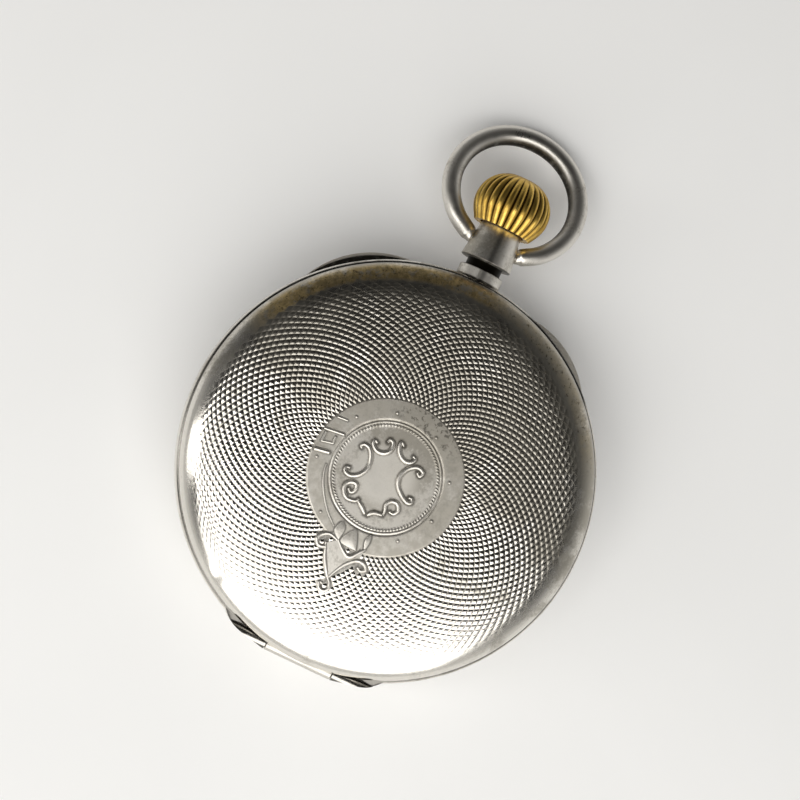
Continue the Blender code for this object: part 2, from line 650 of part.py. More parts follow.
def build_back_cover():
    """Back lid with the flat that the watch rests on, its lip, and a gap for the cuvette's lip."""
    outer = dome(COVER_RADIUS, BACK_DEPTH, BACK_FULLNESS, REST_RADIUS, 6)
    start = outer[0][1]
    stretch = BACK_DEPTH / (BACK_DEPTH - start)
    outer = [(r, (z - start) * stretch) for r, z in outer]
    inner_radius = COVER_RADIUS - COVER_WALL
    inner = dome(inner_radius, BACK_DEPTH - COVER_WALL, BACK_FULLNESS, REST_RADIUS, 5)
    inner = [(r, z + COVER_WALL) for r, z in inner]
    profile = [(0.0, COVER_WALL)] + inner + outer[::-1] + [(0.0, 0.0)]
    cover = placed("back_cover", spun(profile, CASE_STEPS, closed=False), "silver", BACK_HINGE)
    lip = lip_outline(-LIP_ANGLE, inner_radius, BACK_LIP_REACH)
    join(cover, placed("back_lip", sheet(lip, BACK_DEPTH - LIP_THICK, BACK_DEPTH - LIP_BELOW_RIM), "silver"))
    margin = LIP_HALF_ANGLE + LIP_GAP_MARGIN
    gap = sector(LIP_ANGLE - margin, LIP_ANGLE + margin, inner_radius - CUT_PAST, COVER_RADIUS + CUT_PAST)
    cut(cover, placed("lip_gap", sheet(gap, CUVETTE_RIM - LIP_THICK - SEAT, BAND_BOTTOM), "silver"))
    give_hinge(cover, BACK_HINGE, KNUCKLE_RADIUS, KNUCKLE_HALF, HINGE_HALF, HINGE_PIN_RADIUS, HINGE_ROOM)


def build_cuvette():
    """Thin inner dust cover under the back, with its own hinge and lip."""
    centre = CUVETTE_RIM - CUVETTE_DEPTH
    outer = dome(CUVETTE_RADIUS, CUVETTE_DEPTH, CUVETTE_FULLNESS, REST_RADIUS, 4)
    outer = [(r, centre + z) for r, z in outer]
    inner_radius = CUVETTE_RADIUS - CUVETTE_WALL
    inner = dome(inner_radius, CUVETTE_DEPTH - CUVETTE_WALL, CUVETTE_FULLNESS, REST_RADIUS, 3)
    inner = [(r, centre + CUVETTE_WALL + z) for r, z in inner]
    profile = [(0.0, centre + CUVETTE_WALL)] + inner + outer[::-1] + [(0.0, centre)]
    cover = placed("cuvette", spun(profile, CASE_STEPS, closed=False), "silver", CUVETTE_HINGE)
    lip = lip_outline(LIP_ANGLE, inner_radius, CUVETTE_LIP_REACH)
    tongue_top = CUVETTE_RIM - LIP_BELOW_RIM
    join(cover, placed("cuvette_lip", sheet(lip, CUVETTE_RIM - LIP_THICK, tongue_top), "silver"))
    give_hinge(cover, CUVETTE_HINGE, CUVETTE_KNUCKLE, CUVETTE_KNUCKLE_HALF, CUVETTE_HINGE_HALF,
               CUVETTE_PIN_RADIUS, AIR)


def build_bezel_and_crystal():
    """Snap bezel on the band, with the domed glass held in its groove."""
    low = BAND_TOP + SEAT
    top = low + BEZEL_HEIGHT
    mouth = BEZEL_RADIUS - BEZEL_WIDTH
    groove = mouth + CRYSTAL_HOLD
    middle = low + BEZEL_HEIGHT / 2
    shelf = middle - BEZEL_HEIGHT / 5
    lip = top - BEZEL_HEIGHT / 5
    bezel = [(mouth, top), (groove + CRYSTAL_HOLD, top), (BEZEL_RADIUS - BEZEL_SLOPE, middle),
             (BEZEL_RADIUS, low), (mouth, low), (mouth, shelf), (groove, shelf), (groove, lip), (mouth, lip)]
    placed("bezel", spun(bezel, CASE_STEPS), "silver")
    edge = groove - SEAT
    clear = mouth - SEAT
    seat = shelf + SEAT
    brim = lip - SEAT
    crown = brim + CRYSTAL_RISE
    shoulder = crown - CRYSTAL_RISE * CRYSTAL_SHOULDER / 2
    bend = clear * CRYSTAL_SHOULDER
    glass = [(0.0, crown), (bend, shoulder), (clear, brim), (edge, brim), (edge, seat), (clear, seat),
             (clear - CRYSTAL_THICK, brim - SEAT), (bend, shoulder - CRYSTAL_THICK),
             (0.0, crown - CRYSTAL_THICK)]
    placed("crystal", spun(glass, CASE_STEPS, closed=False), "glass")


def case_spring(name, nose, far):
    """Flat case spring lying in the band's channel, its nose standing up inside the lid's rim."""
    middle = SPRING_CHANNEL_INNER + SPRING_CHANNEL_WIDTH / 2
    low = BAND_TOP - SPRING_CHANNEL_DEPTH + 2 * SEAT
    high = BAND_TOP - SEAT
    leaf = sector(nose, far, middle - SPRING_THICK / 2, middle + SPRING_THICK / 2, 10)
    spring = placed(name, sheet(leaf, low, high), "steel")
    turn = SPRING_NOSE_HALF_ANGLE
    tip_outer = (COVER_RADIUS - COVER_WALL) * math.cos(math.pi / CASE_STEPS) - 4 * SEAT
    tip_inner = BEZEL_RADIUS + SEAT
    arm = sector(nose - turn, nose + turn, middle - SPRING_THICK / 2, tip_outer, 2)
    tip = sector(nose - turn, nose + turn, tip_inner, tip_outer, 2)
    join(spring, placed(f"{name}_arm", sheet(arm, low, high - SEAT), "steel"))
    join(spring, placed(f"{name}_tip", sheet(tip, high - SPRING_THICK, LID_RIM + SPRING_THICK / 3), "steel"))


def neck_radius(x):
    """Radius of the tapered neck at a place along the pendant."""
    return NECK_BASE_RADIUS + (NECK_TOP_RADIUS - NECK_BASE_RADIUS) * (x - NECK_START) / NECK_LENGTH


def build_pendant():
    """Neck with its collar and groove, tenoned into the band and bored for the stem and the bow's pins."""
    passage = STEM_RADIUS + AIR
    inside = COLLAR_START + COLLAR_LENGTH / 3
    tenon_end = COLLAR_START - TENON_LENGTH
    profile = [
        (PENDANT_BORE, NECK_END), (NECK_TOP_RADIUS, NECK_END), (NECK_BASE_RADIUS, NECK_START),
        (GROOVE_RADIUS, NECK_START), (GROOVE_RADIUS, GROOVE_START), (COLLAR_RADIUS, GROOVE_START),
        (COLLAR_RADIUS, COLLAR_START), (TENON_RADIUS, COLLAR_START), (TENON_RADIUS, tenon_end),
        (passage, tenon_end), (passage, inside), (PENDANT_BORE, inside)]
    tube = laid_along(spun(profile, 16), (1.0, 0.0, 0.0), (0.0, 0.0, STEM_LEVEL))
    pendant = placed("pendant", tube, "silver")
    pivot = (BOW_PIVOT_X, 0.0, STEM_LEVEL)
    for side in (-1, 1):
        end = neck_radius(BOW_PIVOT_X) - BOW_PIN_INSIDE - SEAT
        low, high = sorted((side * end, side * (NECK_BASE_RADIUS + CUT_PAST)))
        hole = rod_along_y(BOW_PIN_RADIUS + RUN, pivot, low, high)
        cut(pendant, placed(f"bow_hole_{side}", hole, "silver"))


def bow_path():
    """(reach, side, wire radius) points of the bow in its own plane, from one pin to the other."""
    surface = neck_radius(BOW_PIVOT_X)
    first = math.radians(BOW_FIRST_ANGLE)
    start = BOW_CENTRE_REACH - BOW_RADIUS * math.cos(first)
    side = BOW_RADIUS * math.sin(first)
    half = [(0.0, surface - BOW_PIN_INSIDE, BOW_PIN_RADIUS), (0.0, surface + SEAT, BOW_PIN_RADIUS),
            (start / 3, surface + SEAT + (side - surface) / 3, (BOW_PIN_RADIUS + BOW_END_RADIUS) / 2)]
    steps = 10
    for step in range(steps):
        angle = first + (math.pi - first) * step / steps
        swell = BOW_END_RADIUS + (BOW_WIRE_RADIUS - BOW_END_RADIUS) * math.sqrt((step + 1) / (steps + 1))
        half.append((BOW_CENTRE_REACH - BOW_RADIUS * math.cos(angle), BOW_RADIUS * math.sin(angle), swell))
    far = (BOW_CENTRE_REACH + BOW_RADIUS, 0.0, BOW_WIRE_RADIUS)
    return half + [far] + [(reach, -side, radius) for reach, side, radius in reversed(half)]


def build_bow():
    """Round wire bow pivoting in the neck, let down until its far end lies beside the rest face."""
    sides = 8
    path = bow_path()
    bm = bmesh.new()
    rings = []
    for index, (reach, side, radius) in enumerate(path):
        before = path[max(index - 1, 0)]
        after = path[min(index + 1, len(path) - 1)]
        along = Vector((after[0] - before[0], after[1] - before[1], 0.0)).normalized()
        across = Vector((along.y, -along.x, 0.0))
        ring = []
        for corner in range(sides):
            angle = math.tau * corner / sides
            offset = across * math.cos(angle) + Vector((0.0, 0.0, math.sin(angle)))
            ring.append(bm.verts.new(Vector((reach, side, 0.0)) + offset * radius))
        rings.append(ring)
    for ring, following in zip(rings, rings[1:]):
        for corner in range(sides):
            nearby = (corner + 1) % sides
            bm.faces.new((ring[corner], ring[nearby], following[nearby], following[corner]))
    bm.faces.new(rings[0])
    bm.faces.new(rings[-1])
    droop = Matrix.Rotation(BOW_DROOP, 4, "Y")
    pivot = (BOW_PIVOT_X, 0.0, STEM_LEVEL)
    bmesh.ops.transform(bm, matrix=Matrix.Translation(pivot) @ droop, verts=bm.verts)
    placed("bow", bm, "silver", pivot)


def crown_radius(share):
    """Radius of the onion crown at a share of its height."""
    if share < CROWN_WAIST:
        bulge = math.sin(share / CROWN_WAIST * math.pi / 2)
        return CROWN_SKIRT_RADIUS + (CROWN_RADIUS - CROWN_SKIRT_RADIUS) * bulge
    above = (share - CROWN_WAIST) / (1.0 - CROWN_WAIST)
    return CROWN_RADIUS * (1.0 - above ** CROWN_FULLNESS) ** (1 / CROWN_FULLNESS)


def build_crown():
    """Fluted onion crown, recessed over the top of the neck and bored for the stem."""
    columns = 2 * CROWN_RIBS
    shares = (0.0, 0.13, 0.32, 0.55, 0.76, 0.93)
    bm = bmesh.new()
    rows = []
    for share in shares:
        row = []
        ridge = crown_radius(share)
        flute = CROWN_RIB_DEPTH * math.sin(math.pi * min(max(share, 0.02), 0.98))
        for column in range(columns):
            around = turned_away(360.0 * column / columns, ridge - flute * (column % 2))
            row.append(bm.verts.new((*around, share * CROWN_HEIGHT)))
        rows.append(row)
    for row, following in zip(rows, rows[1:]):
        for column in range(columns):
            nearby = (column + 1) % columns
            bm.faces.new((row[column], row[nearby], following[nearby], following[column]))
    pole = bm.verts.new((0.0, 0.0, CROWN_HEIGHT))
    for column in range(columns):
        bm.faces.new((rows[-1][column], rows[-1][(column + 1) % columns], pole))
    bm.faces.new(rows[0])
    laid_along(bm, (1.0, 0.0, 0.0), (CROWN_START, 0.0, STEM_LEVEL))
    crown = placed("crown", bm, "crown_gold", (CROWN_START, 0.0, STEM_LEVEL))
    mouth = NECK_TOP_RADIUS + CROWN_MOUTH_GAP
    recess = rod_along_x(mouth, CROWN_START - CUT_PAST, CROWN_START + CROWN_RECESS, 16)
    hole = rod_along_x(STEM_RADIUS + SEAT, CROWN_START, CROWN_START + CROWN_RECESS + STEM_IN_CROWN)
    cut(crown, placed("crown_recess", recess, "steel"), placed("crown_hole", hole, "steel"))


def build_stem():
    """Winding stem from its inner end to the crown, and the sleeve that guides it in the neck."""
    inner = CLUTCH_START - STEM_BEYOND_CLUTCH
    end = CROWN_START + CROWN_RECESS + STEM_IN_CROWN - SEAT
    profile = [(0.0, end), (STEM_RADIUS, end), (STEM_RADIUS, GROOVE_END), (STEM_GROOVE, GROOVE_END),
               (STEM_GROOVE, GROOVE_BEGIN), (STEM_SQUARE, GROOVE_BEGIN), (STEM_SQUARE, inner), (0.0, inner)]
    stem = laid_along(spun(profile, SMALL_STEPS, closed=False), (1.0, 0.0, 0.0), (0.0, 0.0, STEM_LEVEL))
    placed("winding_stem", stem, "steel", (CROWN_START, 0.0, STEM_LEVEL))
    high = NECK_END - 2 * AIR
    low = high - SLEEVE_LENGTH + 2 * AIR
    outer = PENDANT_BORE - SEAT
    hollow = outer - SLEEVE_WALL
    guide = STEM_RADIUS + RUN
    neck = low + SLEEVE_GUIDE
    sleeve = [(hollow, high), (outer, high), (outer, low), (guide, low), (guide, neck), (hollow, neck)]
    tube = laid_along(spun(sleeve, SMALL_STEPS), (1.0, 0.0, 0.0), (0.0, 0.0, STEM_LEVEL))
    placed("stem_sleeve", tube, "steel")


def toothed(teeth, module, place, towards, tip_there):
    """Outline of pointed teeth, with a tip or a gap on the line towards the mating arbor."""
    pitch = module * teeth / 2
    tip = pitch + TIP_SHARE * module
    root = pitch - ROOT_SHARE * module
    line = math.degrees(math.atan2(towards[1] - place[1], towards[0] - place[0]))
    step = 360.0 / teeth
    first = line if tip_there else line + step / 2
    outline = []
    for tooth in range(teeth):
        outline.append(turned_away(first + tooth * step, tip, place))
        outline.append(turned_away(first + (tooth + 0.5) * step, root, place))
    return outline


def crossings(place, hub, rim, arms, half_arm):
    """Openings between the arms of a wheel."""
    holes = []
    for arm in range(arms):
        first = 360.0 * arm / arms
        last = first + 360.0 / arms
        wide = math.degrees(half_arm / hub)
        narrow = math.degrees(half_arm / rim)
        outer = arc_points(rim, first + narrow, last - narrow, 3, place)
        holes.append(outer + arc_points(hub, last - wide, first + wide, 1, place))
    return holes


def arbor_mesh(place, low, high):
    """Upright arbor between two plates, with a thin pivot at each end."""
    profile = [(0.0, high + PIVOT_LENGTH), (PIVOT_RADIUS, high + PIVOT_LENGTH), (PIVOT_RADIUS, high),
               (ARBOR_RADIUS, high), (ARBOR_RADIUS, low), (PIVOT_RADIUS, low),
               (PIVOT_RADIUS, low - PIVOT_LENGTH), (0.0, low - PIVOT_LENGTH)]
    return spun(profile, PIVOT_STEPS, place, closed=False)


def crossed_wheel(name, place, teeth, module, mate, level, arms, kind="gilt"):
    """Toothed wheel with arms, its teeth set to mesh towards its mate."""
    rim = module * (teeth / 2 - ROOT_SHARE) - WHEEL_RIM
    holes = crossings(place, WHEEL_HUB, rim, arms, WHEEL_ARM / 2)
    outline = toothed(teeth, module, place, mate, True)
    return placed(name, sheet(outline, level, level + WHEEL_THICK, holes), kind, (*place, 0.0))


def leaves(name, teeth, module, place, driver, low, high):
    """Pinion leaves with a gap towards the wheel that drives them."""
    return placed(name, sheet(toothed(teeth, module, place, driver, False), low, high), "steel")


def build_going_train():
    """Centre, third, fourth and escape wheels, each one solid with its pinion and arbor."""
    low = BRIDGE_TOP + SEAT
    high = PLATE_BOTTOM - SEAT
    past = AIR / 2
    centre = crossed_wheel(
        "centre_wheel", CENTRE_PLACE, CENTRE_TEETH, CENTRE_MODULE, THIRD_PLACE, CENTRE_LEVEL, 4)
    pinion_top = BARREL_BOTTOM + BARREL_RIM + past
    join(centre, leaves("centre_leaves", CENTRE_PINION, BARREL_MODULE, CENTRE_PLACE, BARREL_PLACE,
                        CENTRE_LEVEL + past, pinion_top))
    post = [(0.0, MINUTE_LEVEL), (CENTRE_POST, MINUTE_LEVEL), (CENTRE_POST, high), (ARBOR_RADIUS * 2, high),
            (ARBOR_RADIUS * 2, low), (PIVOT_RADIUS * 2, low), (PIVOT_RADIUS * 2, low - PIVOT_LENGTH),
            (0.0, low - PIVOT_LENGTH)]
    join(centre, placed("centre_arbor", spun(post, PIVOT_STEPS, closed=False), "steel"))
    third = crossed_wheel("third_wheel", THIRD_PLACE, THIRD_TEETH, THIRD_MODULE, FOURTH_PLACE, THIRD_LEVEL, 4)
    join(third, leaves("third_leaves", THIRD_PINION, CENTRE_MODULE, THIRD_PLACE, CENTRE_PLACE,
                       CENTRE_LEVEL - past, CENTRE_LEVEL + WHEEL_THICK + past))
    join(third, placed("third_arbor", arbor_mesh(THIRD_PLACE, low, high), "steel"))
    fourth = crossed_wheel(
        "fourth_wheel", FOURTH_PLACE, FOURTH_TEETH, FOURTH_MODULE, ESCAPE_PLACE, FOURTH_LEVEL, 4)
    join(fourth, leaves("fourth_leaves", FOURTH_PINION, THIRD_MODULE, FOURTH_PLACE, THIRD_PLACE,
                        THIRD_LEVEL - past, THIRD_LEVEL + WHEEL_THICK + past))
    seconds_top = SECONDS_LEVEL + HAND_THICK
    long_post = [(0.0, seconds_top), (PIVOT_RADIUS, seconds_top), (PIVOT_RADIUS, high), (ARBOR_RADIUS, high),
                 (ARBOR_RADIUS, low), (PIVOT_RADIUS, low), (PIVOT_RADIUS, low - PIVOT_LENGTH),
                 (0.0, low - PIVOT_LENGTH)]
    join(fourth, placed("fourth_arbor", spun(long_post, PIVOT_STEPS, FOURTH_PLACE, closed=False), "steel"))
    build_escape_wheel(low, high, past)


def build_escape_wheel(low, high, past):
    """Fifteen raked teeth on a light rim, with the six-leaf pinion below."""
    root = ESCAPE_RADIUS * 0.76
    step = 360.0 / ESCAPE_TEETH
    outline = []
    for tooth in range(ESCAPE_TEETH):
        start = tooth * step
        for share, radius in ((0.0, root), (0.5, ESCAPE_RADIUS), (0.66, ESCAPE_RADIUS), (0.72, root)):
            outline.append(turned_away(start + share * step, radius, ESCAPE_PLACE))
    holes = crossings(ESCAPE_PLACE, WHEEL_HUB * 0.8, root - WHEEL_RIM, 4, WHEEL_ARM / 2)
    body = sheet(outline, ESCAPE_LEVEL, ESCAPE_LEVEL + WHEEL_THICK, holes)
    escape = placed("escape_wheel", body, "steel", (*ESCAPE_PLACE, 0.0))
    join(escape, leaves("escape_leaves", ESCAPE_PINION, FOURTH_MODULE, ESCAPE_PLACE, FOURTH_PLACE,
                        FOURTH_LEVEL - past, FOURTH_LEVEL + WHEEL_THICK + past))
    join(escape, placed("escape_arbor", arbor_mesh(ESCAPE_PLACE, low, high), "steel"))


def spiral(place, inner, outer, turns, thick, low, high, steps_per_turn=12):
    """Flat spring wound as a spiral strip."""
    inside = []
    outside = []
    count = round(turns * steps_per_turn)
    for step in range(count + 1):
        angle = 360.0 * step / steps_per_turn
        radius = inner + (outer - inner) * step / count
        inside.append(turned_away(angle, radius - thick / 2, place))
        outside.append(turned_away(angle, radius + thick / 2, place))
    return sheet(outside + inside[::-1], low, high)


def build_barrel():
    """Toothed mainspring barrel with its cover, spring and arbor."""
    top = BARREL_BOTTOM + BARREL_HEIGHT
    root = BARREL_MODULE * (BARREL_TEETH / 2 - ROOT_SHARE)
    drum = root - BARREL_WALL / 2
    hollow = drum - BARREL_WALL
    floor = BARREL_BOTTOM + BARREL_WALL
    cover_low = top - BARREL_WALL
    shaft = BARREL_SHAFT
    origin = (*BARREL_PLACE, 0.0)
    teeth = toothed(BARREL_TEETH, BARREL_MODULE, BARREL_PLACE, CENTRE_PLACE, True)
    barrel = placed("barrel", sheet(teeth, BARREL_BOTTOM, BARREL_BOTTOM + BARREL_RIM), "gilt", origin)
    join(barrel, placed("barrel_drum", rod(drum, floor, top, MOVEMENT_STEPS, BARREL_PLACE), "gilt"))
    inside = rod(hollow, floor, top + CUT_PAST, MOVEMENT_STEPS, BARREL_PLACE)
    cut(barrel, placed("barrel_hollow", inside, "gilt"))
    cut(barrel, placed("barrel_hole", rod(shaft + RUN, 0.0, top, SMALL_STEPS, BARREL_PLACE), "gilt"))
    lid = sheet(ring_points(hollow - SEAT, MOVEMENT_STEPS, BARREL_PLACE), cover_low, top - SEAT,
                [ring_points(shaft + RUN, SMALL_STEPS, BARREL_PLACE)])
    placed("barrel_cover", lid, "gilt", origin)
    core = BARREL_CORE
    strip = spiral(BARREL_PLACE, core + 2 * MAINSPRING_THICK, hollow - MAINSPRING_THICK, MAINSPRING_TURNS,
                   MAINSPRING_THICK, floor + AIR, cover_low - AIR)
    placed("mainspring", strip, "blued", origin)
    end = PLATE_TOP - SEAT
    arbor = [(0.0, end), (PIVOT_RADIUS * 2, end), (PIVOT_RADIUS * 2, top), (shaft, top),
             (shaft, cover_low - AIR), (core, cover_low - AIR), (core, floor + AIR), (shaft, floor + AIR),
             (shaft, WINDING_BOTTOM), (0.0, WINDING_BOTTOM)]
    placed("barrel_arbor", spun(arbor, SMALL_STEPS, BARREL_PLACE, closed=False), "steel", origin)


def screw(name, place, seat, tip):
    """Cheese-head screw entering from the back, its head under seat."""
    low = seat - SEAT
    profile = [(0.0, tip), (SCREW_RADIUS, tip), (SCREW_RADIUS, low), (SCREW_HEAD_RADIUS, low),
               (SCREW_HEAD_RADIUS, low - SCREW_HEAD_HEIGHT), (0.0, low - SCREW_HEAD_HEIGHT)]
    return placed(name, spun(profile, PIVOT_STEPS + 2, place, closed=False), "blued")


def pivot_holes(base, places, radius=PIVOT_RADIUS):
    """Through holes for the pivots of arbors."""
    for number, place in enumerate(places):
        hole = rod(clear_of(radius), 0.0, LID_RIM, PIVOT_STEPS, place)
        cut(base, placed(f"{base.name}_pivot_{number}", hole, "steel"))


def screw_holes(base, places):
    """Through holes for the shanks of screws."""
    for number, place in enumerate(places):
        hole = rod(clear_of(SCREW_RADIUS), 0.0, LID_RIM, PIVOT_STEPS, place)
        cut(base, placed(f"{base.name}_tap_{number}", hole, "steel"))


def feet(base, places, radius, top):
    """Pillars that stand a bridge off the main plate."""
    for number, place in enumerate(places):
        pillar = rod(radius, top, PLATE_BOTTOM - SEAT, SMALL_STEPS, place)
        join(base, placed(f"{base.name}_foot_{number}", pillar, "gilt"))


def build_main_plate():
    """Round plate with a rim under the dial, sunk for the barrel and slotted for the keyless work."""
    inner = PLATE_RADIUS - PLATE_RIM_WIDTH
    profile = [(0.0, PLATE_TOP), (inner, PLATE_TOP), (inner, RIM_TOP), (PLATE_RADIUS, RIM_TOP),
               (PLATE_RADIUS, PLATE_BOTTOM), (0.0, PLATE_BOTTOM)]
    plate = placed("main_plate", spun(profile, CASE_STEPS, closed=False), "gilt")
    sink_radius = BARREL_MODULE * (BARREL_TEETH / 2 + TIP_SHARE) + 2 * AIR
    sink_top = BARREL_BOTTOM + BARREL_HEIGHT + AIR
    sink = rod(sink_radius, BRIDGE_TOP, sink_top, MOVEMENT_STEPS, BARREL_PLACE)
    slot_half = STEM_RADIUS + AIR
    stem_slot = block((CROWN_WHEEL_X - STEM_SLOT_INWARD, -slot_half, BRIDGE_TOP),
                      (CASE_RADIUS, slot_half, STEM_LEVEL + slot_half))
    room = WINDING_PINION_RADIUS + AIR
    wheel_slot = block((CLUTCH_START - AIR, -room, BRIDGE_TOP),
                       (PINION_START + WINDING_PINION_LENGTH + AIR, room, RIM_TOP))
    pin_slot = block((GROOVE_BEGIN - SETTING_PIN_IN, -slot_half, STEM_LEVEL),
                     (GROOVE_END + SETTING_PIN_OUT, slot_half, RIM_TOP))
    cut(plate, placed("barrel_sink", sink, "gilt"), placed("stem_slot", stem_slot, "gilt"))
    cut(plate, placed("wheel_slot", wheel_slot, "gilt"), placed("pin_slot", pin_slot, "gilt"))
    pivot_holes(plate, (THIRD_PLACE, FOURTH_PLACE, ESCAPE_PLACE, PALLET_PLACE, BALANCE_PLACE))
    pivot_holes(plate, (MINUTE_WHEEL_PLACE, BARREL_PLACE), PIVOT_RADIUS * 2)
    pivot_holes(plate, (CENTRE_PLACE,), CENTRE_POST)
    screw_holes(plate, BARREL_FEET + TRAIN_FEET + CASE_SCREWS + (COCK_FOOT, PALLET_FOOT, SETTING_PLACE))


def bridge_circle(first, last):
    """Arc along the outer edge of the bridges."""
    return arc_points(BRIDGE_RADIUS, first, last, 12)


def build_bridges():
    """Barrel bridge and train bridge, parted by a narrow gap and cut away round the balance."""
    gap = BRIDGE_SPLIT / 2
    parting = on_plate(BRIDGE_PARTING)
    split = parting[0][1]
    right = math.degrees(math.asin((split + gap) / BRIDGE_RADIUS))
    upper = bridge_circle(right, BRIDGE_CUT_ANGLE) + list(on_plate(BARREL_BRIDGE_SIDE))
    upper += [(x, y + gap) for x, y in reversed(parting)]
    barrel_bridge = placed("barrel_bridge", sheet(upper, BRIDGE_BOTTOM, BRIDGE_TOP), "gilt")
    right = math.degrees(math.asin((split - gap) / BRIDGE_RADIUS))
    lower = bridge_circle(-BRIDGE_CUT_ANGLE, right) + [(x, y - gap) for x, y in parting]
    lower += on_plate(TRAIN_BRIDGE_SIDE)
    train_bridge = placed("train_bridge", sheet(lower, BRIDGE_BOTTOM, BRIDGE_TOP), "gilt")
    clear = BALANCE_RADIUS + BALANCE_SCREW_REACH + BALANCE_ROOM
    for bridge in (barrel_bridge, train_bridge):
        room = rod(clear, 0.0, LID_RIM, MOVEMENT_STEPS, BALANCE_PLACE)
        cut(bridge, placed(f"{bridge.name}_balance_room", room, "gilt"))
    feet(barrel_bridge, BARREL_FEET, FOOT_RADIUS, BRIDGE_TOP - AIR)
    feet(train_bridge, TRAIN_FEET, FOOT_RADIUS, BRIDGE_TOP - AIR)
    pivot_holes(train_bridge, (THIRD_PLACE, FOURTH_PLACE, ESCAPE_PLACE))
    pivot_holes(barrel_bridge, (CENTRE_PLACE,), PIVOT_RADIUS * 2)
    shaft_hole = rod(BARREL_SHAFT + RUN, 0.0, LID_RIM, SMALL_STEPS, BARREL_PLACE)
    cut(barrel_bridge, placed("arbor_hole", shaft_hole, "gilt"))
    neck = rod(CONTRATE_RADIUS + 3 * RUN, 0.0, LID_RIM, 16, CROWN_WHEEL_PLACE)
    cut(barrel_bridge, placed("crown_wheel_hole", neck, "gilt"))
    screw_holes(barrel_bridge, BARREL_FEET + (CLICK_PLACE,))
    screw_holes(train_bridge, TRAIN_FEET)
    for bridge, place in zip((barrel_bridge, train_bridge), CASE_SCREWS):
        room = rod(SCREW_HEAD_RADIUS + AIR, 0.0, LID_RIM, SMALL_STEPS, place)
        cut(bridge, placed(f"{bridge.name}_case_screw_room", room, "gilt"))
    for number, place in enumerate(BARREL_FEET, 1):
        screw(f"barrel_bridge_screw_{number}", place, BRIDGE_BOTTOM, PLATE_TOP - SEAT)
    for number, place in enumerate(TRAIN_FEET, 1):
        screw(f"train_bridge_screw_{number}", place, BRIDGE_BOTTOM, PLATE_TOP - SEAT)


def tongue(start, start_radius, end, end_radius):
    """Outline of two round ends joined by straight sides."""
    along = math.degrees(math.atan2(end[1] - start[1], end[0] - start[0]))
    return (arc_points(start_radius, along + 90.0, along + 270.0, 6, start)
            + arc_points(end_radius, along - 90.0, along + 90.0, 6, end))


def build_cocks():
    """Balance cock and pallet cock, each on one foot with its own screw."""
    outline = tongue(COCK_FOOT, COCK_FOOT_RADIUS, BALANCE_PLACE, COCK_END_RADIUS)
    cock = placed("balance_cock", sheet(outline, COCK_BOTTOM, COCK_TOP), "gilt")
    feet(cock, (COCK_FOOT,), COCK_FOOT_RADIUS - AIR, COCK_TOP - AIR)
    pivot_holes(cock, (BALANCE_PLACE,))
    screw_holes(cock, (COCK_FOOT,))
    screw("balance_cock_screw", COCK_FOOT, COCK_BOTTOM, PLATE_TOP - SEAT)
    low = PALLET_COCK_BOTTOM
    outline = tongue(PALLET_FOOT, FOOT_RADIUS, PALLET_PLACE, FOOT_RADIUS * 0.7)
    small = placed("pallet_cock", sheet(outline, low, low + PALLET_COCK_THICK), "gilt")
    feet(small, (PALLET_FOOT,), FOOT_RADIUS - RUN, low + PALLET_COCK_THICK - AIR)
    pivot_holes(small, (PALLET_PLACE,))
    screw_holes(small, (PALLET_FOOT,))
    screw("pallet_cock_screw", PALLET_FOOT, low, PLATE_TOP - SEAT)


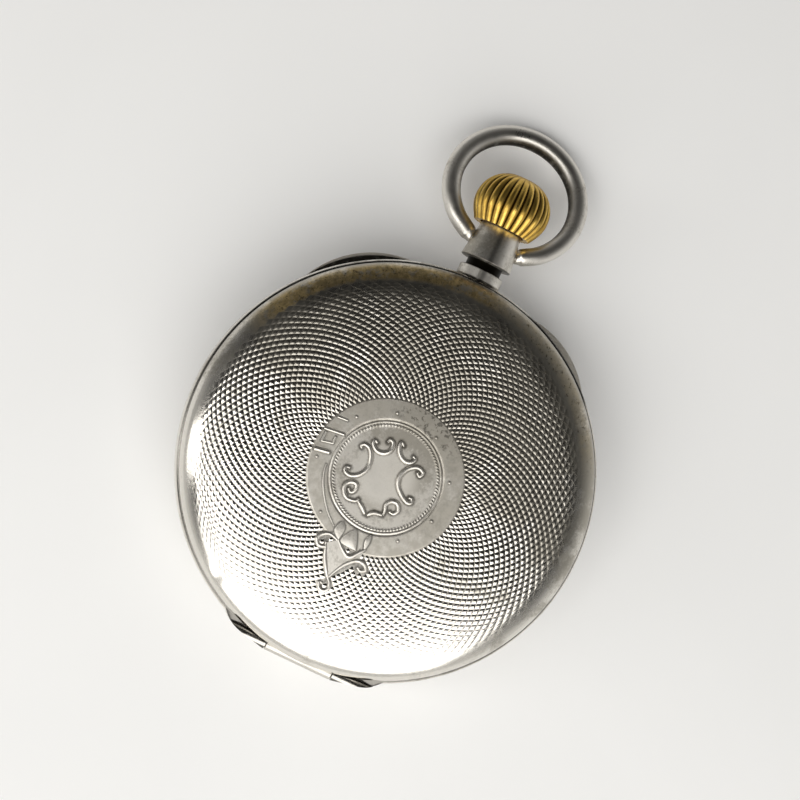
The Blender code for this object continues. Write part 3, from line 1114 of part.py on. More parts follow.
def build_escapement():
    """Lever with its pallets, balance with timing screws, staff with roller, hairspring and regulator."""
    reach = BALANCE_DISTANCE - ROLLER_RADIUS - RUN
    notch_end = reach * FORK_NOTCH_SHARE
    half = [(reach, FORK_NOTCH), (reach, FORK_HORN), (reach * FORK_HORN_SHARE, FORK_STEM)]
    half += on_plate(FORK_SIDE)
    mirrored = [(along, -aside) for along, aside in reversed(half)]
    local = [(notch_end, FORK_NOTCH)] + half + mirrored + [(notch_end, -FORK_NOTCH)]
    ahead = Matrix.Rotation(math.radians(BALANCE_DIRECTION), 2)
    outline = [tuple(ahead @ Vector(point) + Vector(PALLET_PLACE)) for point in local]
    lever = sheet(outline, ESCAPE_LEVEL, ESCAPE_LEVEL + WHEEL_THICK)
    fork = placed("pallet_fork", lever, "steel", (*PALLET_PLACE, 0.0))
    arbor = arbor_mesh(PALLET_PLACE, PALLET_COCK_BOTTOM + PALLET_COCK_THICK + SEAT, PLATE_BOTTOM - SEAT)
    join(fork, placed("pallet_arbor", arbor, "steel"))

    origin = (*BALANCE_PLACE, 0.0)
    outer = []
    step = 360.0 / BALANCE_SCREWS
    for number in range(BALANCE_SCREWS):
        for share, lift in ((0.0, 0.0), (0.32, 0.0), (0.36, 1.0), (0.64, 1.0), (0.68, 0.0)):
            radius = BALANCE_RADIUS + lift * BALANCE_SCREW_REACH
            outer.append(turned_away((number + share) * step, radius, BALANCE_PLACE))
    inside = BALANCE_RADIUS - BALANCE_RIM
    holes = []
    for side in (0.0, 180.0):
        rim_arc = arc_points(inside, side + 6.0, side + 174.0, 12, BALANCE_PLACE)
        holes.append(rim_arc + arc_points(WHEEL_HUB, side + 145.0, side + 35.0, 2, BALANCE_PLACE))
    holes.append(ring_points(STAFF_RADIUS + RUN, SMALL_STEPS, BALANCE_PLACE))
    rim = sheet(outer, BALANCE_LEVEL, BALANCE_LEVEL + BALANCE_HEIGHT, holes)
    placed("balance_wheel", rim, "brass", origin)

    table = BALANCE_LEVEL + BALANCE_HEIGHT + ROLLER_DROP
    rim_top = table + WHEEL_THICK
    low = COCK_TOP + SEAT
    high = PLATE_BOTTOM - SEAT
    profile = [(0.0, high + PIVOT_LENGTH), (PIVOT_RADIUS, high + PIVOT_LENGTH), (PIVOT_RADIUS, high),
               (STAFF_RADIUS, high), (STAFF_RADIUS, rim_top), (ROLLER_RADIUS, rim_top),
               (ROLLER_RADIUS, table), (STAFF_RADIUS, table), (STAFF_RADIUS, low), (PIVOT_RADIUS, low),
               (PIVOT_RADIUS, low - PIVOT_LENGTH), (0.0, low - PIVOT_LENGTH)]
    staff = placed("balance_staff", spun(profile, SMALL_STEPS, BALANCE_PLACE, closed=False), "steel", origin)
    pin_place = turned_away(BALANCE_DIRECTION + 180.0, ROLLER_RADIUS - 2 * PIVOT_RADIUS, BALANCE_PLACE)
    pin = rod(PIVOT_RADIUS, table + WHEEL_THICK / 2, ESCAPE_LEVEL + WHEEL_THICK, PIVOT_STEPS, pin_place)
    join(staff, placed("impulse_pin", pin, "steel"))
    coil = spiral(BALANCE_PLACE, STAFF_RADIUS + 2 * HAIRSPRING_THICK, HAIRSPRING_RADIUS, HAIRSPRING_TURNS,
                  HAIRSPRING_THICK, COCK_TOP + SEAT, BALANCE_LEVEL - SEAT)
    placed("hairspring", coil, "blued", origin)
    run, rise = COCK_FOOT[0] - BALANCE_PLACE[0], COCK_FOOT[1] - BALANCE_PLACE[1]
    foot_side = math.degrees(math.atan2(rise, run))
    tip = turned_away(foot_side, REGULATOR_REACH, BALANCE_PLACE)
    pointer = tongue(BALANCE_PLACE, COCK_END_RADIUS * 0.6, tip, SCREW_RADIUS / 2)
    eye = ring_points(PIVOT_RADIUS * 3, SMALL_STEPS, BALANCE_PLACE)
    index = sheet(pointer, COCK_BOTTOM - SEAT - WHEEL_THICK, COCK_BOTTOM - SEAT, [eye])
    placed("regulator", index, "steel", origin)


def contrate_neck():
    """Neck of the crown wheel with teeth on its end, towards the winding pinion."""
    columns = 2 * CROWN_WHEEL_TEETH
    bm = bmesh.new()
    rings = []
    for column in range(columns):
        end = CONTRATE_TIP - CONTRATE_TOOTH * (column % 2)
        angle = 360.0 * column / columns
        outer = turned_away(angle, CONTRATE_RADIUS, CROWN_WHEEL_PLACE)
        inner = turned_away(angle, CONTRATE_RADIUS - CONTRATE_WALL, CROWN_WHEEL_PLACE)
        base = WINDING_TOP - RUN
        corners = ((*outer, base), (*outer, end), (*inner, end), (*inner, base))
        rings.append([bm.verts.new(corner) for corner in corners])
    for column, ring in enumerate(rings):
        following = rings[(column + 1) % columns]
        for corner in range(4):
            nearby = (corner + 1) % 4
            bm.faces.new((ring[corner], ring[nearby], following[nearby], following[corner]))
    return bm


def build_winding_work():
    """Ratchet and crown wheels on the bridge, the click, and the pinion and clutch on the stem."""
    barrel_axis = (*BARREL_PLACE, 0.0)
    hole = [ring_points(BARREL_SHAFT + SEAT, SMALL_STEPS, BARREL_PLACE)]
    teeth = toothed(RATCHET_TEETH, WINDING_MODULE, BARREL_PLACE, CROWN_WHEEL_PLACE, True)
    placed("ratchet_wheel", sheet(teeth, WINDING_BOTTOM, WINDING_TOP, hole), "steel", barrel_axis)
    tap = rod(clear_of(SCREW_RADIUS), 0.0, BRIDGE_TOP, PIVOT_STEPS, BARREL_PLACE)
    cut(bpy.data.objects["barrel_arbor"], placed("ratchet_screw_hole", tap, "steel"))
    screw("ratchet_screw", BARREL_PLACE, WINDING_BOTTOM, BRIDGE_TOP - SEAT)
    teeth = toothed(CROWN_WHEEL_TEETH, WINDING_MODULE, CROWN_WHEEL_PLACE, BARREL_PLACE, False)
    eye = [ring_points(CROWN_WHEEL_EYE, SMALL_STEPS, CROWN_WHEEL_PLACE)]
    flange = sheet(teeth, WINDING_BOTTOM, WINDING_TOP, eye)
    crown_wheel = placed("crown_wheel", flange, "steel", (*CROWN_WHEEL_PLACE, 0.0))
    join(crown_wheel, placed("crown_wheel_neck", contrate_neck(), "steel"))

    tooth_tip = WINDING_MODULE * (RATCHET_TEETH / 2 + TIP_SHARE)
    click_tip = turned_away(CLICK_TIP_DIRECTION, tooth_tip + SCREW_RADIUS + RUN, BARREL_PLACE)
    pawl = tongue(CLICK_PLACE, SCREW_HEAD_RADIUS, click_tip, SCREW_RADIUS / 2)
    eye = [ring_points(clear_of(SCREW_RADIUS), PIVOT_STEPS, CLICK_PLACE)]
    placed("click", sheet(pawl, WINDING_BOTTOM, WINDING_TOP, eye), "steel", (*CLICK_PLACE, 0.0))
    screw("click_screw", CLICK_PLACE, WINDING_BOTTOM, BRIDGE_TOP - SEAT)
    inner = SCREW_HEAD_RADIUS + 2 * AIR
    first, last = CLICK_SPRING_SPAN
    strip = arc_points(inner + HAIRSPRING_HEIGHT, first, last, 8, CLICK_PLACE)
    strip += arc_points(inner, last, first, 8, CLICK_PLACE)
    placed("click_spring", sheet(strip, WINDING_BOTTOM, WINDING_TOP), "steel")

    module = WINDING_PINION_RADIUS / (WINDING_PINION_TEETH / 2 + TIP_SHARE)
    teeth = toothed(WINDING_PINION_TEETH, module, (0.0, 0.0), (1.0, 0.0), False)
    bore = [ring_points(STEM_SQUARE + RUN, SMALL_STEPS)]
    stem_axis = (0.0, 0.0, STEM_LEVEL)
    pinion = sheet(teeth, PINION_START, PINION_START + WINDING_PINION_LENGTH, bore)
    pinion = laid_along(pinion, (1.0, 0.0, 0.0), stem_axis)
    placed("winding_pinion", pinion, "steel", (PINION_START, 0.0, STEM_LEVEL))
    end = CLUTCH_START + CLUTCH_LENGTH
    third = CLUTCH_LENGTH / 3
    waist = CLUTCH_WAIST
    bore_radius = STEM_SQUARE + RUN
    profile = [(bore_radius, end), (CLUTCH_RADIUS, end), (CLUTCH_RADIUS, end - third), (waist, end - third),
               (waist, CLUTCH_START + third), (CLUTCH_RADIUS, CLUTCH_START + third),
               (CLUTCH_RADIUS, CLUTCH_START), (bore_radius, CLUTCH_START)]
    clutch = laid_along(spun(profile, SMALL_STEPS), (1.0, 0.0, 0.0), stem_axis)
    placed("clutch_wheel", clutch, "steel", (CLUTCH_START, 0.0, STEM_LEVEL))


def build_setting_lever():
    """Lever on the dial side whose pin rides in the stem's groove, and its screw."""
    low = PLATE_TOP + SEAT
    high = low + WHEEL_THICK
    arm = tongue(SETTING_PLACE, SETTING_WIDTH / 2, (SETTING_PLACE[0], 0.0), SETTING_TIP_RADIUS)
    eye = [ring_points(clear_of(SCREW_RADIUS), PIVOT_STEPS, SETTING_PLACE)]
    lever = placed("setting_lever", sheet(arm, low, high, eye), "steel", (*SETTING_PLACE, 0.0))
    pin = rod(SETTING_PIN_RADIUS, STEM_LEVEL + STEM_GROOVE + SEAT, high - SEAT, PIVOT_STEPS,
              (SETTING_PLACE[0], 0.0))
    join(lever, placed("setting_pin", pin, "steel"))
    seat = high + SEAT
    head = seat + SCREW_HEAD_HEIGHT
    profile = [(0.0, head), (SCREW_HEAD_RADIUS, head), (SCREW_HEAD_RADIUS, seat), (SCREW_RADIUS, seat),
               (SCREW_RADIUS, PLATE_BOTTOM + SEAT), (0.0, PLATE_BOTTOM + SEAT)]
    placed("setting_lever_screw", spun(profile, PIVOT_STEPS + 2, SETTING_PLACE, closed=False), "blued")


def build_motion_work():
    """Cannon pinion on the centre post, minute wheel beside it, and the hour wheel round the cannon."""
    bore = CENTRE_POST + RUN
    tube = bore + CANNON_WALL
    top = MINUTE_LEVEL + HAND_THICK
    high = MOTION_LEVEL + WHEEL_THICK
    teeth = toothed(CANNON_TEETH, MOTION_MODULE, CENTRE_PLACE, MINUTE_WHEEL_PLACE, False)
    cannon = placed("cannon_pinion", sheet(teeth, MOTION_LEVEL, high), "steel")
    join(cannon, placed("cannon_pipe", rod(tube, high - RUN / 2, top, PIVOT_STEPS), "steel"))
    cut(cannon, placed("cannon_bore", rod(bore, 0.0, top + CUT_PAST, PIVOT_STEPS), "steel"))

    axis = (*MINUTE_WHEEL_PLACE, 0.0)
    hour_top = HOUR_WHEEL_LEVEL + WHEEL_THICK
    teeth = toothed(MINUTE_WHEEL_TEETH, MOTION_MODULE, MINUTE_WHEEL_PLACE, CENTRE_PLACE, True)
    minute = placed("minute_wheel", sheet(teeth, MOTION_LEVEL, high - RUN), "gilt", axis)
    join(minute, leaves("minute_leaves", MINUTE_PINION_TEETH, MOTION_MODULE, MINUTE_WHEEL_PLACE, CENTRE_PLACE,
                        high - 2 * RUN, hour_top))
    stud = rod(PIVOT_RADIUS * 2, PLATE_TOP - PIVOT_LENGTH, hour_top - RUN, PIVOT_STEPS, MINUTE_WHEEL_PLACE)
    join(minute, placed("minute_stud", stud, "steel"))

    inside = tube + RUN
    outside = inside + HOUR_PIPE_WALL
    pipe_top = HOUR_LEVEL + HAND_THICK
    teeth = toothed(HOUR_WHEEL_TEETH, MOTION_MODULE, CENTRE_PLACE, MINUTE_WHEEL_PLACE, True)
    hour = placed("hour_wheel", sheet(teeth, HOUR_WHEEL_LEVEL, hour_top), "gilt")
    join(hour, placed("hour_pipe", rod(outside, hour_top - RUN, pipe_top), "gilt"))
    cut(hour, placed("hour_bore", rod(inside, 0.0, pipe_top + CUT_PAST), "gilt"))


def hand(name, place, direction, hub, hole, length, level):
    """Tapered blued hand with a round boss."""
    base = math.degrees(math.asin(HAND_HALF_WIDTH / 2 / hub))
    outline = arc_points(hub, direction + base, direction + 360.0 - base, 12, place)
    for reach, width in HAND_BLADE:
        side = turned_away(direction + 90.0, width * HAND_HALF_WIDTH * hub, place)
        outline.append(turned_away(direction, length * reach, side))
    body = sheet(outline, level, level + HAND_THICK, [ring_points(hole, SMALL_STEPS, place)])
    placed(name, body, "blued", (*place, 0.0))


def build_dial_and_hands():
    """Enamelled dial with its two holes, and three hands."""
    cannon = CENTRE_POST + RUN + CANNON_WALL
    pipe = cannon + RUN + HOUR_PIPE_WALL
    holes = [ring_points(pipe + AIR, SMALL_STEPS), ring_points(PIVOT_RADIUS + AIR, PIVOT_STEPS, FOURTH_PLACE)]
    placed("dial", sheet(ring_points(DIAL_RADIUS, CASE_STEPS), DIAL_BOTTOM, DIAL_TOP, holes), "enamel")
    hand("minute_hand", CENTRE_PLACE, MINUTE_HAND_DIRECTION, cannon + HAND_BOSS, cannon + 2 * SEAT,
         MINUTE_HAND_LENGTH, MINUTE_LEVEL)
    hand("hour_hand", CENTRE_PLACE, HOUR_HAND_DIRECTION, pipe + HAND_BOSS, pipe + 2 * SEAT,
         HOUR_HAND_LENGTH, HOUR_LEVEL)
    hand("seconds_hand", FOURTH_PLACE, SECONDS_HAND_DIRECTION, PIVOT_RADIUS + HAND_BOSS, PIVOT_RADIUS + SEAT,
         SECONDS_HAND_LENGTH, SECONDS_LEVEL)


build_case_middle()
build_front_cover()
build_back_cover()
build_cuvette()
hinge_pin("front_hinge_pin", FRONT_HINGE, HINGE_PIN_RADIUS, HINGE_PIN_HALF)
hinge_pin("back_hinge_pin", BACK_HINGE, HINGE_PIN_RADIUS, HINGE_PIN_HALF)
hinge_pin("cuvette_hinge_pin", CUVETTE_HINGE, CUVETTE_PIN_RADIUS, CUVETTE_HINGE_HALF - SEAT)
build_bezel_and_crystal()
case_spring("lock_spring", 0.0, -SPRING_SPAN)
case_spring("lift_spring", LIFT_ANGLE, LIFT_ANGLE - SPRING_SPAN)
build_pendant()
build_bow()
build_crown()
build_stem()
build_main_plate()
build_bridges()
build_cocks()
build_going_train()
build_barrel()
build_escapement()
build_winding_work()
build_setting_lever()
build_motion_work()
build_dial_and_hands()
for number, place in enumerate(CASE_SCREWS, 1):
    screw(f"case_screw_{number}", place, BAND_BOTTOM, PLATE_TOP - SEAT)
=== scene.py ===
import json
import math

import bmesh
import bpy
from mathutils import Matrix, Vector
from mathutils.kdtree import KDTree


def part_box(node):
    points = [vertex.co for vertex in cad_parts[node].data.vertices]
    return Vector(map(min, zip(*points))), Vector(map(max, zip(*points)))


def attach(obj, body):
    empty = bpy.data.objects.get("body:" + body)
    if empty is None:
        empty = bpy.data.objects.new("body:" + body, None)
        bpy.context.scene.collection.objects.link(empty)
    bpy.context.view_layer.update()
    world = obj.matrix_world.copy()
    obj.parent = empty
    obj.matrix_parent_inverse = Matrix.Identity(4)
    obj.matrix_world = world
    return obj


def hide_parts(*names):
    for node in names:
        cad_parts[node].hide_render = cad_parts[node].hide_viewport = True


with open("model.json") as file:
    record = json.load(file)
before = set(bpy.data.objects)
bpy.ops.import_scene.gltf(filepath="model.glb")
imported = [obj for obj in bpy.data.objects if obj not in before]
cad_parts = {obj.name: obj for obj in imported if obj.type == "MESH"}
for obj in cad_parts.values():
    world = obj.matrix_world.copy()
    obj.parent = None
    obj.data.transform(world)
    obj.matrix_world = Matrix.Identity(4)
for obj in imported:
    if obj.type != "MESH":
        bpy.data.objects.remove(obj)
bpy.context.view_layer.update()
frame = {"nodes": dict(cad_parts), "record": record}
print("frame loaded:", len(frame["nodes"]), "nodes")

mm = 0.001
alongX = (1.0, 0.0, 0.0)
alongY = (0.0, 1.0, 0.0)
imageRight = Vector((0.435, -0.900)).normalized()  # the photo's right and up in the watch's own frame
imageUp = Vector((0.900, 0.435)).normalized()

# case sizes in millimetres, those of the solids but for the width of the lips
caseSize = {
    "bandRadius": 25.0, "bandLow": 4.7, "bandHigh": 9.3, "coverRadius": 24.6, "coverWall": 0.55,
    "lidRim": 9.4, "lidRise": 4.1, "lidFullness": 2.8, "backDepth": 4.6, "backFullness": 2.6,
    "restRadius": 7.5, "stemLevel": 7.0, "hingeX": -24.3, "frontHingeZ": 9.35, "backHingeZ": 4.65,
    "knuckleRadius": 0.75, "knuckleHalf": 4.3, "knuckleEdge": 0.08, "pinHole": 0.32, "hingeHalf": 10.4,
    "run": 0.05, "air": 0.15, "hingeRoom": 0.25, "lipAngle": 32.0, "lipHalfAngle": 18.0,
}


# small mesh tools, all in millimetres

def turned(angle, radius, centre=(0.0, 0.0)):
    a = math.radians(angle)
    return (centre[0] + radius * math.cos(a), centre[1] + radius * math.sin(a))


def circle(radius, steps, centre=(0.0, 0.0)):
    return [turned(360.0 * k / steps, radius, centre) for k in range(steps)]


def evenly(start, step, count):
    return [start + step * k for k in range(count)]


def smoothStep(low, high, value):
    t = min(max((value - low) / (high - low), 0.0), 1.0)
    return t * t * (3.0 - 2.0 * t)


def joinRings(bm, rings):
    # faces between neighbouring rings that have the same number of points
    for a, b in zip(rings, rings[1:]):
        for k in range(len(a)):
            n = (k + 1) % len(a)
            bm.faces.new((a[k], a[n], b[n], b[k]))


def capRing(bm, ring, tip):
    # fan of faces from a ring to one point
    for k in range(len(ring)):
        bm.faces.new((tip, ring[k], ring[(k + 1) % len(ring)]))


def lathe(profile, steps, closed=True):
    # profile of (radius, level) turned round the vertical axis, radius 0 becomes a pole
    bm = bmesh.new()
    rings = []
    for radius, level in profile:
        points = circle(radius, steps) if radius > 1e-6 else [(0.0, 0.0)]
        rings.append([bm.verts.new((*p, level)) for p in points])
    pairs = list(zip(rings, rings[1:]))
    if closed:
        pairs.append((rings[-1], rings[0]))
    for a, b in pairs:
        for k in range(steps):
            n = (k + 1) % steps
            corners = [a[k % len(a)], a[n % len(a)], b[n % len(b)], b[k % len(b)]]
            corners = [v for i, v in enumerate(corners) if v not in corners[:i]]
            if len(corners) > 2:
                bm.faces.new(corners)
    return bm


def laidOver(bm, along, start):
    # turn a lathe's own axis to another direction and set its zero at start
    turn = Vector((0.0, 0.0, 1.0)).rotation_difference(Vector(along)).to_matrix().to_4x4()
    bmesh.ops.transform(bm, matrix=Matrix.Translation(start) @ turn, verts=bm.verts)
    return bm


def rod(radius, low, high, along, start, steps):
    bm = lathe([(0.0, low), (radius, low), (radius, high), (0.0, high)], steps, closed=False)
    return laidOver(bm, along, start)


def crossRod(radius, x, z, low, high, steps=40):
    # rod along y, for the hinges
    return rod(radius, low, high, alongY, (x, 0.0, z), steps)


def plate(outline, low, high, holes=()):
    # flat plate of an outline with holes, cut by filling its edges
    bm = bmesh.new()
    edges = []
    for loop in [outline, *holes]:
        verts = [bm.verts.new((x, y, low)) for x, y in loop]
        edges += [bm.edges.new((verts[k - 1], verts[k])) for k in range(len(verts))]
    bmesh.ops.triangle_fill(bm, use_beauty=True, edges=edges)
    made = bmesh.ops.extrude_face_region(bm, geom=bm.faces[:])
    lifted = [g for g in made["geom"] if isinstance(g, bmesh.types.BMVert)]
    bmesh.ops.translate(bm, verts=lifted, vec=(0.0, 0.0, high - low))
    return bm


def box(low, high):
    bm = bmesh.new()
    bmesh.ops.create_cube(bm, size=1.0)
    for v in bm.verts:
        v.co = Vector([low[i] if v.co[i] < 0 else high[i] for i in range(3)])
    return bm


def swept(points, radii, sides, flat=1.0):
    # tube along points with its own radius at each, flat squeezes its height
    bm = bmesh.new()
    rings = []
    up = Vector((0.0, 0.0, 1.0))
    turns = [math.tau * k / sides for k in range(sides)]
    points = [Vector(p) for p in points]
    for i, p in enumerate(points):
        along = (points[min(i + 1, len(points) - 1)] - points[max(i - 1, 0)]).normalized()
        across = along.cross(up).normalized()
        lift = across.cross(along).normalized()
        spokes = [across * math.cos(a) + lift * math.sin(a) * flat for a in turns]
        rings.append([bm.verts.new(p + spoke * radii[i]) for spoke in spokes])
    joinRings(bm, rings)
    bm.faces.new(rings[0])
    bm.faces.new(rings[-1])
    return bm


def throughPoints(points, steps):
    # smooth curve through points of any number of values
    made = []
    for i in range(len(points) - 1):
        a, b = points[max(i - 1, 0)], points[i]
        c, d = points[i + 1], points[min(i + 2, len(points) - 1)]
        for k in range(steps):
            t = k / steps
            made.append(tuple(0.5 * (2 * q + (r - p) * t + (2 * p - 5 * q + 4 * r - s) * t * t
                                     + (3 * q - p - 3 * r + s) * t ** 3) for p, q, r, s in zip(a, b, c, d)))
    made.append(tuple(points[-1]))
    return made


def toObject(name, bm):
    bmesh.ops.recalc_face_normals(bm, faces=bm.faces[:])
    bmesh.ops.scale(bm, vec=(mm, mm, mm), verts=bm.verts[:])
    mesh = bpy.data.meshes.new(name)
    bm.to_mesh(mesh)
    bm.free()
    made = bpy.data.objects.new(name, mesh)
    bpy.context.scene.collection.objects.link(made)
    return made


def applyStep(piece, step):
    # turn one modifier into mesh at once
    bpy.context.view_layer.update()
    mesh = bpy.data.meshes.new_from_object(piece.evaluated_get(bpy.context.evaluated_depsgraph_get()))
    piece.modifiers.remove(step)
    piece.data = mesh


def carve(base, bm, how="DIFFERENCE"):
    tool = toObject("tool", bm)
    step = base.modifiers.new("step", "BOOLEAN")
    step.operation = how
    step.solver = "EXACT"
    step.object = tool
    applyStep(base, step)
    bpy.data.objects.remove(tool)


def softEdges(piece, width=0.025, angle=40.0):
    # small bevel along the sharp edges
    step = piece.modifiers.new("edge", "BEVEL")
    step.width = width * mm
    step.segments = 1
    step.limit_method = "ANGLE"
    step.angle_limit = math.radians(angle)
    applyStep(piece, step)


def fitted(piece, body, nodes, finish, sharp=32.0):
    # material, smooth faces with sharp edges kept, the body it rides on and the node it stands for
    piece.data.materials.clear()
    piece.data.materials.append(finishes[finish])
    for face in piece.data.polygons:
        face.material_index = 0
        face.use_smooth = True
    piece.data.set_sharp_from_angle(angle=math.radians(sharp))
    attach(piece, body)
    if nodes:
        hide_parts(*nodes)


def coverCurve(radius, rise, fullness, reach):
    # height of a cover's dome at a distance from the middle, 0 at its edge
    share = min(reach / radius, 1.0)
    return rise * max(1.0 - share ** fullness, 0.0) ** (1.0 / fullness)


def coverRings(radius, rise, fullness, count):
    # (radius, height) points down a dome, close together where it turns over at the edge
    points = []
    for k in range(count + 1):
        a = math.pi / 2 * k / count
        reach, height = math.sin(a), max(math.cos(a), 0.0)
        points.append((radius * reach ** (2 / fullness), rise * height ** (2 / fullness)))
    return points


# finishes

class NodeSheet:
    # short way to write one material's nodes

    def __init__(self, name):
        self.material = bpy.data.materials.new(name)
        self.material.use_nodes = True
        self.tree = self.material.node_tree
        self.tree.nodes.clear()
        self.shader = self.add("BsdfPrincipled")
        self.tree.links.new(self.shader.outputs[0], self.add("OutputMaterial").inputs[0])
        self.place = self.add("TexCoord").outputs["Object"]

    def add(self, kind):
        return self.tree.nodes.new("ShaderNode" + kind)

    def put(self, socket, value):
        if isinstance(value, bpy.types.NodeSocket):
            self.tree.links.new(value, socket)
        else:
            socket.default_value = value

    def math(self, how, a, b=0.0, clamp=False):
        node = self.add("Math")
        node.operation = how
        node.use_clamp = clamp
        self.put(node.inputs[0], a)
        self.put(node.inputs[1], b)
        return node.outputs[0]

    def times(self, a, b):
        return self.math("MULTIPLY", a, b)

    def plus(self, a, b):
        return self.math("ADD", a, b)

    def noise(self, size, detail=4.0, rough=0.55, stretch=None, warp=0.0):
        # size is the width of one patch in millimetres
        node = self.add("TexNoise")
        node.inputs["Scale"].default_value = 1.0 / (size * mm)
        node.inputs["Detail"].default_value = detail
        node.inputs["Roughness"].default_value = rough
        node.inputs["Distortion"].default_value = warp
        self.put(node.inputs["Vector"], self.stretched(stretch) if stretch else self.place)
        return node.outputs["Fac"]

    def stretched(self, scale):
        node = self.add("Mapping")
        node.inputs["Scale"].default_value = scale
        self.put(node.inputs["Vector"], self.place)
        return node.outputs[0]

    def ramp(self, value, low, high, first=0.0, last=1.0):
        node = self.add("MapRange")
        node.interpolation_type = "SMOOTHSTEP"
        for name, number in (("From Min", low), ("From Max", high), ("To Min", first), ("To Max", last)):
            node.inputs[name].default_value = number
        self.put(node.inputs["Value"], value)
        return node.outputs["Result"]

    def mix(self, share, a, b):
        node = self.add("Mix")
        node.data_type = "RGBA"
        self.put(node.inputs[0], share)
        self.put(node.inputs[6], (*a, 1.0) if isinstance(a, tuple) else a)
        self.put(node.inputs[7], (*b, 1.0) if isinstance(b, tuple) else b)
        return node.outputs[2]

    def attribute(self, name):
        node = self.add("Attribute")
        node.attribute_name = name
        return node.outputs["Fac"]

    def split(self):
        node = self.add("SeparateXYZ")
        self.put(node.inputs[0], self.place)
        return node.outputs

    def polar(self, centre=(0.0, 0.0)):
        # distance in millimetres and angle in degrees round a place on the watch
        axes = self.split()
        x = self.math("SUBTRACT", axes[0], centre[0] * mm)
        y = self.math("SUBTRACT", axes[1], centre[1] * mm)
        far = self.math("SQRT", self.plus(self.times(x, x), self.times(y, y)))
        angle = self.times(self.math("ARCTAN2", y, x), 180.0 / math.pi)
        return self.math("DIVIDE", far, mm), angle

    def window(self, value, low, high, soft):
        rise = self.ramp(value, low - soft, low + soft)
        fall = self.ramp(value, high - soft, high + soft, 1.0, 0.0)
        return self.times(rise, fall)

    def bump(self, height, strength, depth, under=None):
        node = self.add("Bump")
        node.inputs["Strength"].default_value = strength
        node.inputs["Distance"].default_value = depth * mm
        self.put(node.inputs["Height"], height)
        if under is not None:
            self.put(node.inputs["Normal"], under)
        return node.outputs[0]

    def set(self, **values):
        for name, value in values.items():
            self.put(self.shader.inputs[name.replace("_", " ")], value)
        return self.material


# ornament of the front lid, used by its mesh and its finish
lidOrnament = {
    "centre": (-0.88, 0.43), "cells": 102, "columnsPerCell": 8, "slideFrom": 20.5, "innerRings": 14,
    # engine turning, flattest where handling has worn it; its cuts hold dirt and painted shade
    "pitch": 0.935, "pitchFall": 0.022, "grainRows": 34, "grainShare": 0.89, "grainCrown": 0.076,
    "grainShoulder": 0.75, "grainRoot": 0.03, "grainRoom": 0.3, "cutDepth": 0.04, "cutDirtAndShade": 0.85,
    "patternStart": 9.55, "patternEnd": 22.9, "patternRings": 26, "fadeFrom": 21.2, "fadeLeast": 0.08,
    "wearFrom": -18.0, "wearTo": 9.0, "wearLeast": 0.50, "wearWay": (0.92, 0.39),
    # strap with a groove round it, then bead, thin line and rope round the field
    "strapOuter": 9.3, "strapInner": 6.75, "strapLift": 0.10, "strapFoot": 0.06, "strapBrow": 0.04,
    # dirt and painted shade lie at the strap's foot and edges, in the groove, the thin line and the rope's
    # twists
    "strapEdge": 0.10, "strapDirtAndShade": 0.25, "grooveDepth": 0.03, "grooveDirtAndShade": 0.9,
    "beadRing": 6.5, "beadWidth": 0.16, "beadLift": 0.13, "lineRing": (6.28, 6.36), "lineDirtAndShade": 0.5,
    "ropeRing": 6.15, "ropeWidth": 0.14, "ropeLift": 0.07, "ropeLean": 1.5, "ropeDirtAndShade": 0.85,
    "fieldDrop": 0.05, "fieldPolish": (2.2, 5.0), "strapStain": (-44.0, 14.0), "outlineEnd": 14.5,
    # radii of the mesh rings, as (first, step, count) or one by one
    "fieldRings": (0.5, 0.22, 25), "strapRings": (7.0, 0.21, 11), "edgeRings": [9.2, 9.26, 9.3, 9.36, 9.46],
    "ropeRings": [5.98, 6.05, 6.10, 6.15, 6.20, 6.25, 6.32, 6.38, 6.44, 6.5, 6.56, 6.62, 6.69, 6.75, 6.82],
    "rimRings": 14, "rimCrowd": 1.8,
    "dents": ((146.0, 23.2, 1.0, 0.16), (-91.0, 23.4, 0.9, 0.14)),  # angle, reach, size, depth
}


# colours of the silver, then noises as (patch in millimetres, detail, roughness)
wornSilver = {
    "bright": (0.75, 0.72, 0.665), "grey": (0.42, 0.395, 0.345), "dark": (0.028, 0.024, 0.017),
    "tarnish": (0.62, 0.47, 0.22), "stain": (0.30, 0.22, 0.09), "sootAndShade": (0.007, 0.006, 0.004),
    "rubbed": (0.55, 0.52, 0.46), "polished": (0.82, 0.79, 0.73), "roughLow": 0.18, "roughHigh": 0.38,
    "cloud": (6.0, 5.0, 0.6), "grain": (0.35, 3.0, 0.7), "pit": (0.22, 2.0, 0.5), "smudge": (1.1, 4.0, 0.65),
    "scratch": (0.25, 2.0, 0.6), "crossScratch": (0.2, 2.0, 0.6), "patch": (1.6, 5.0, 0.7),
    "stainGrain": (0.7, 5.0, 0.75), "spot": (0.5, 4.0, 0.7), "dulled": (1.7, 6.0, 0.7),
    "speck": (0.55, 4.0, 0.7), "shadeLeanWay": (0.8, 0.6), "shadeLeanReach": (-16.0, 12.0),
}


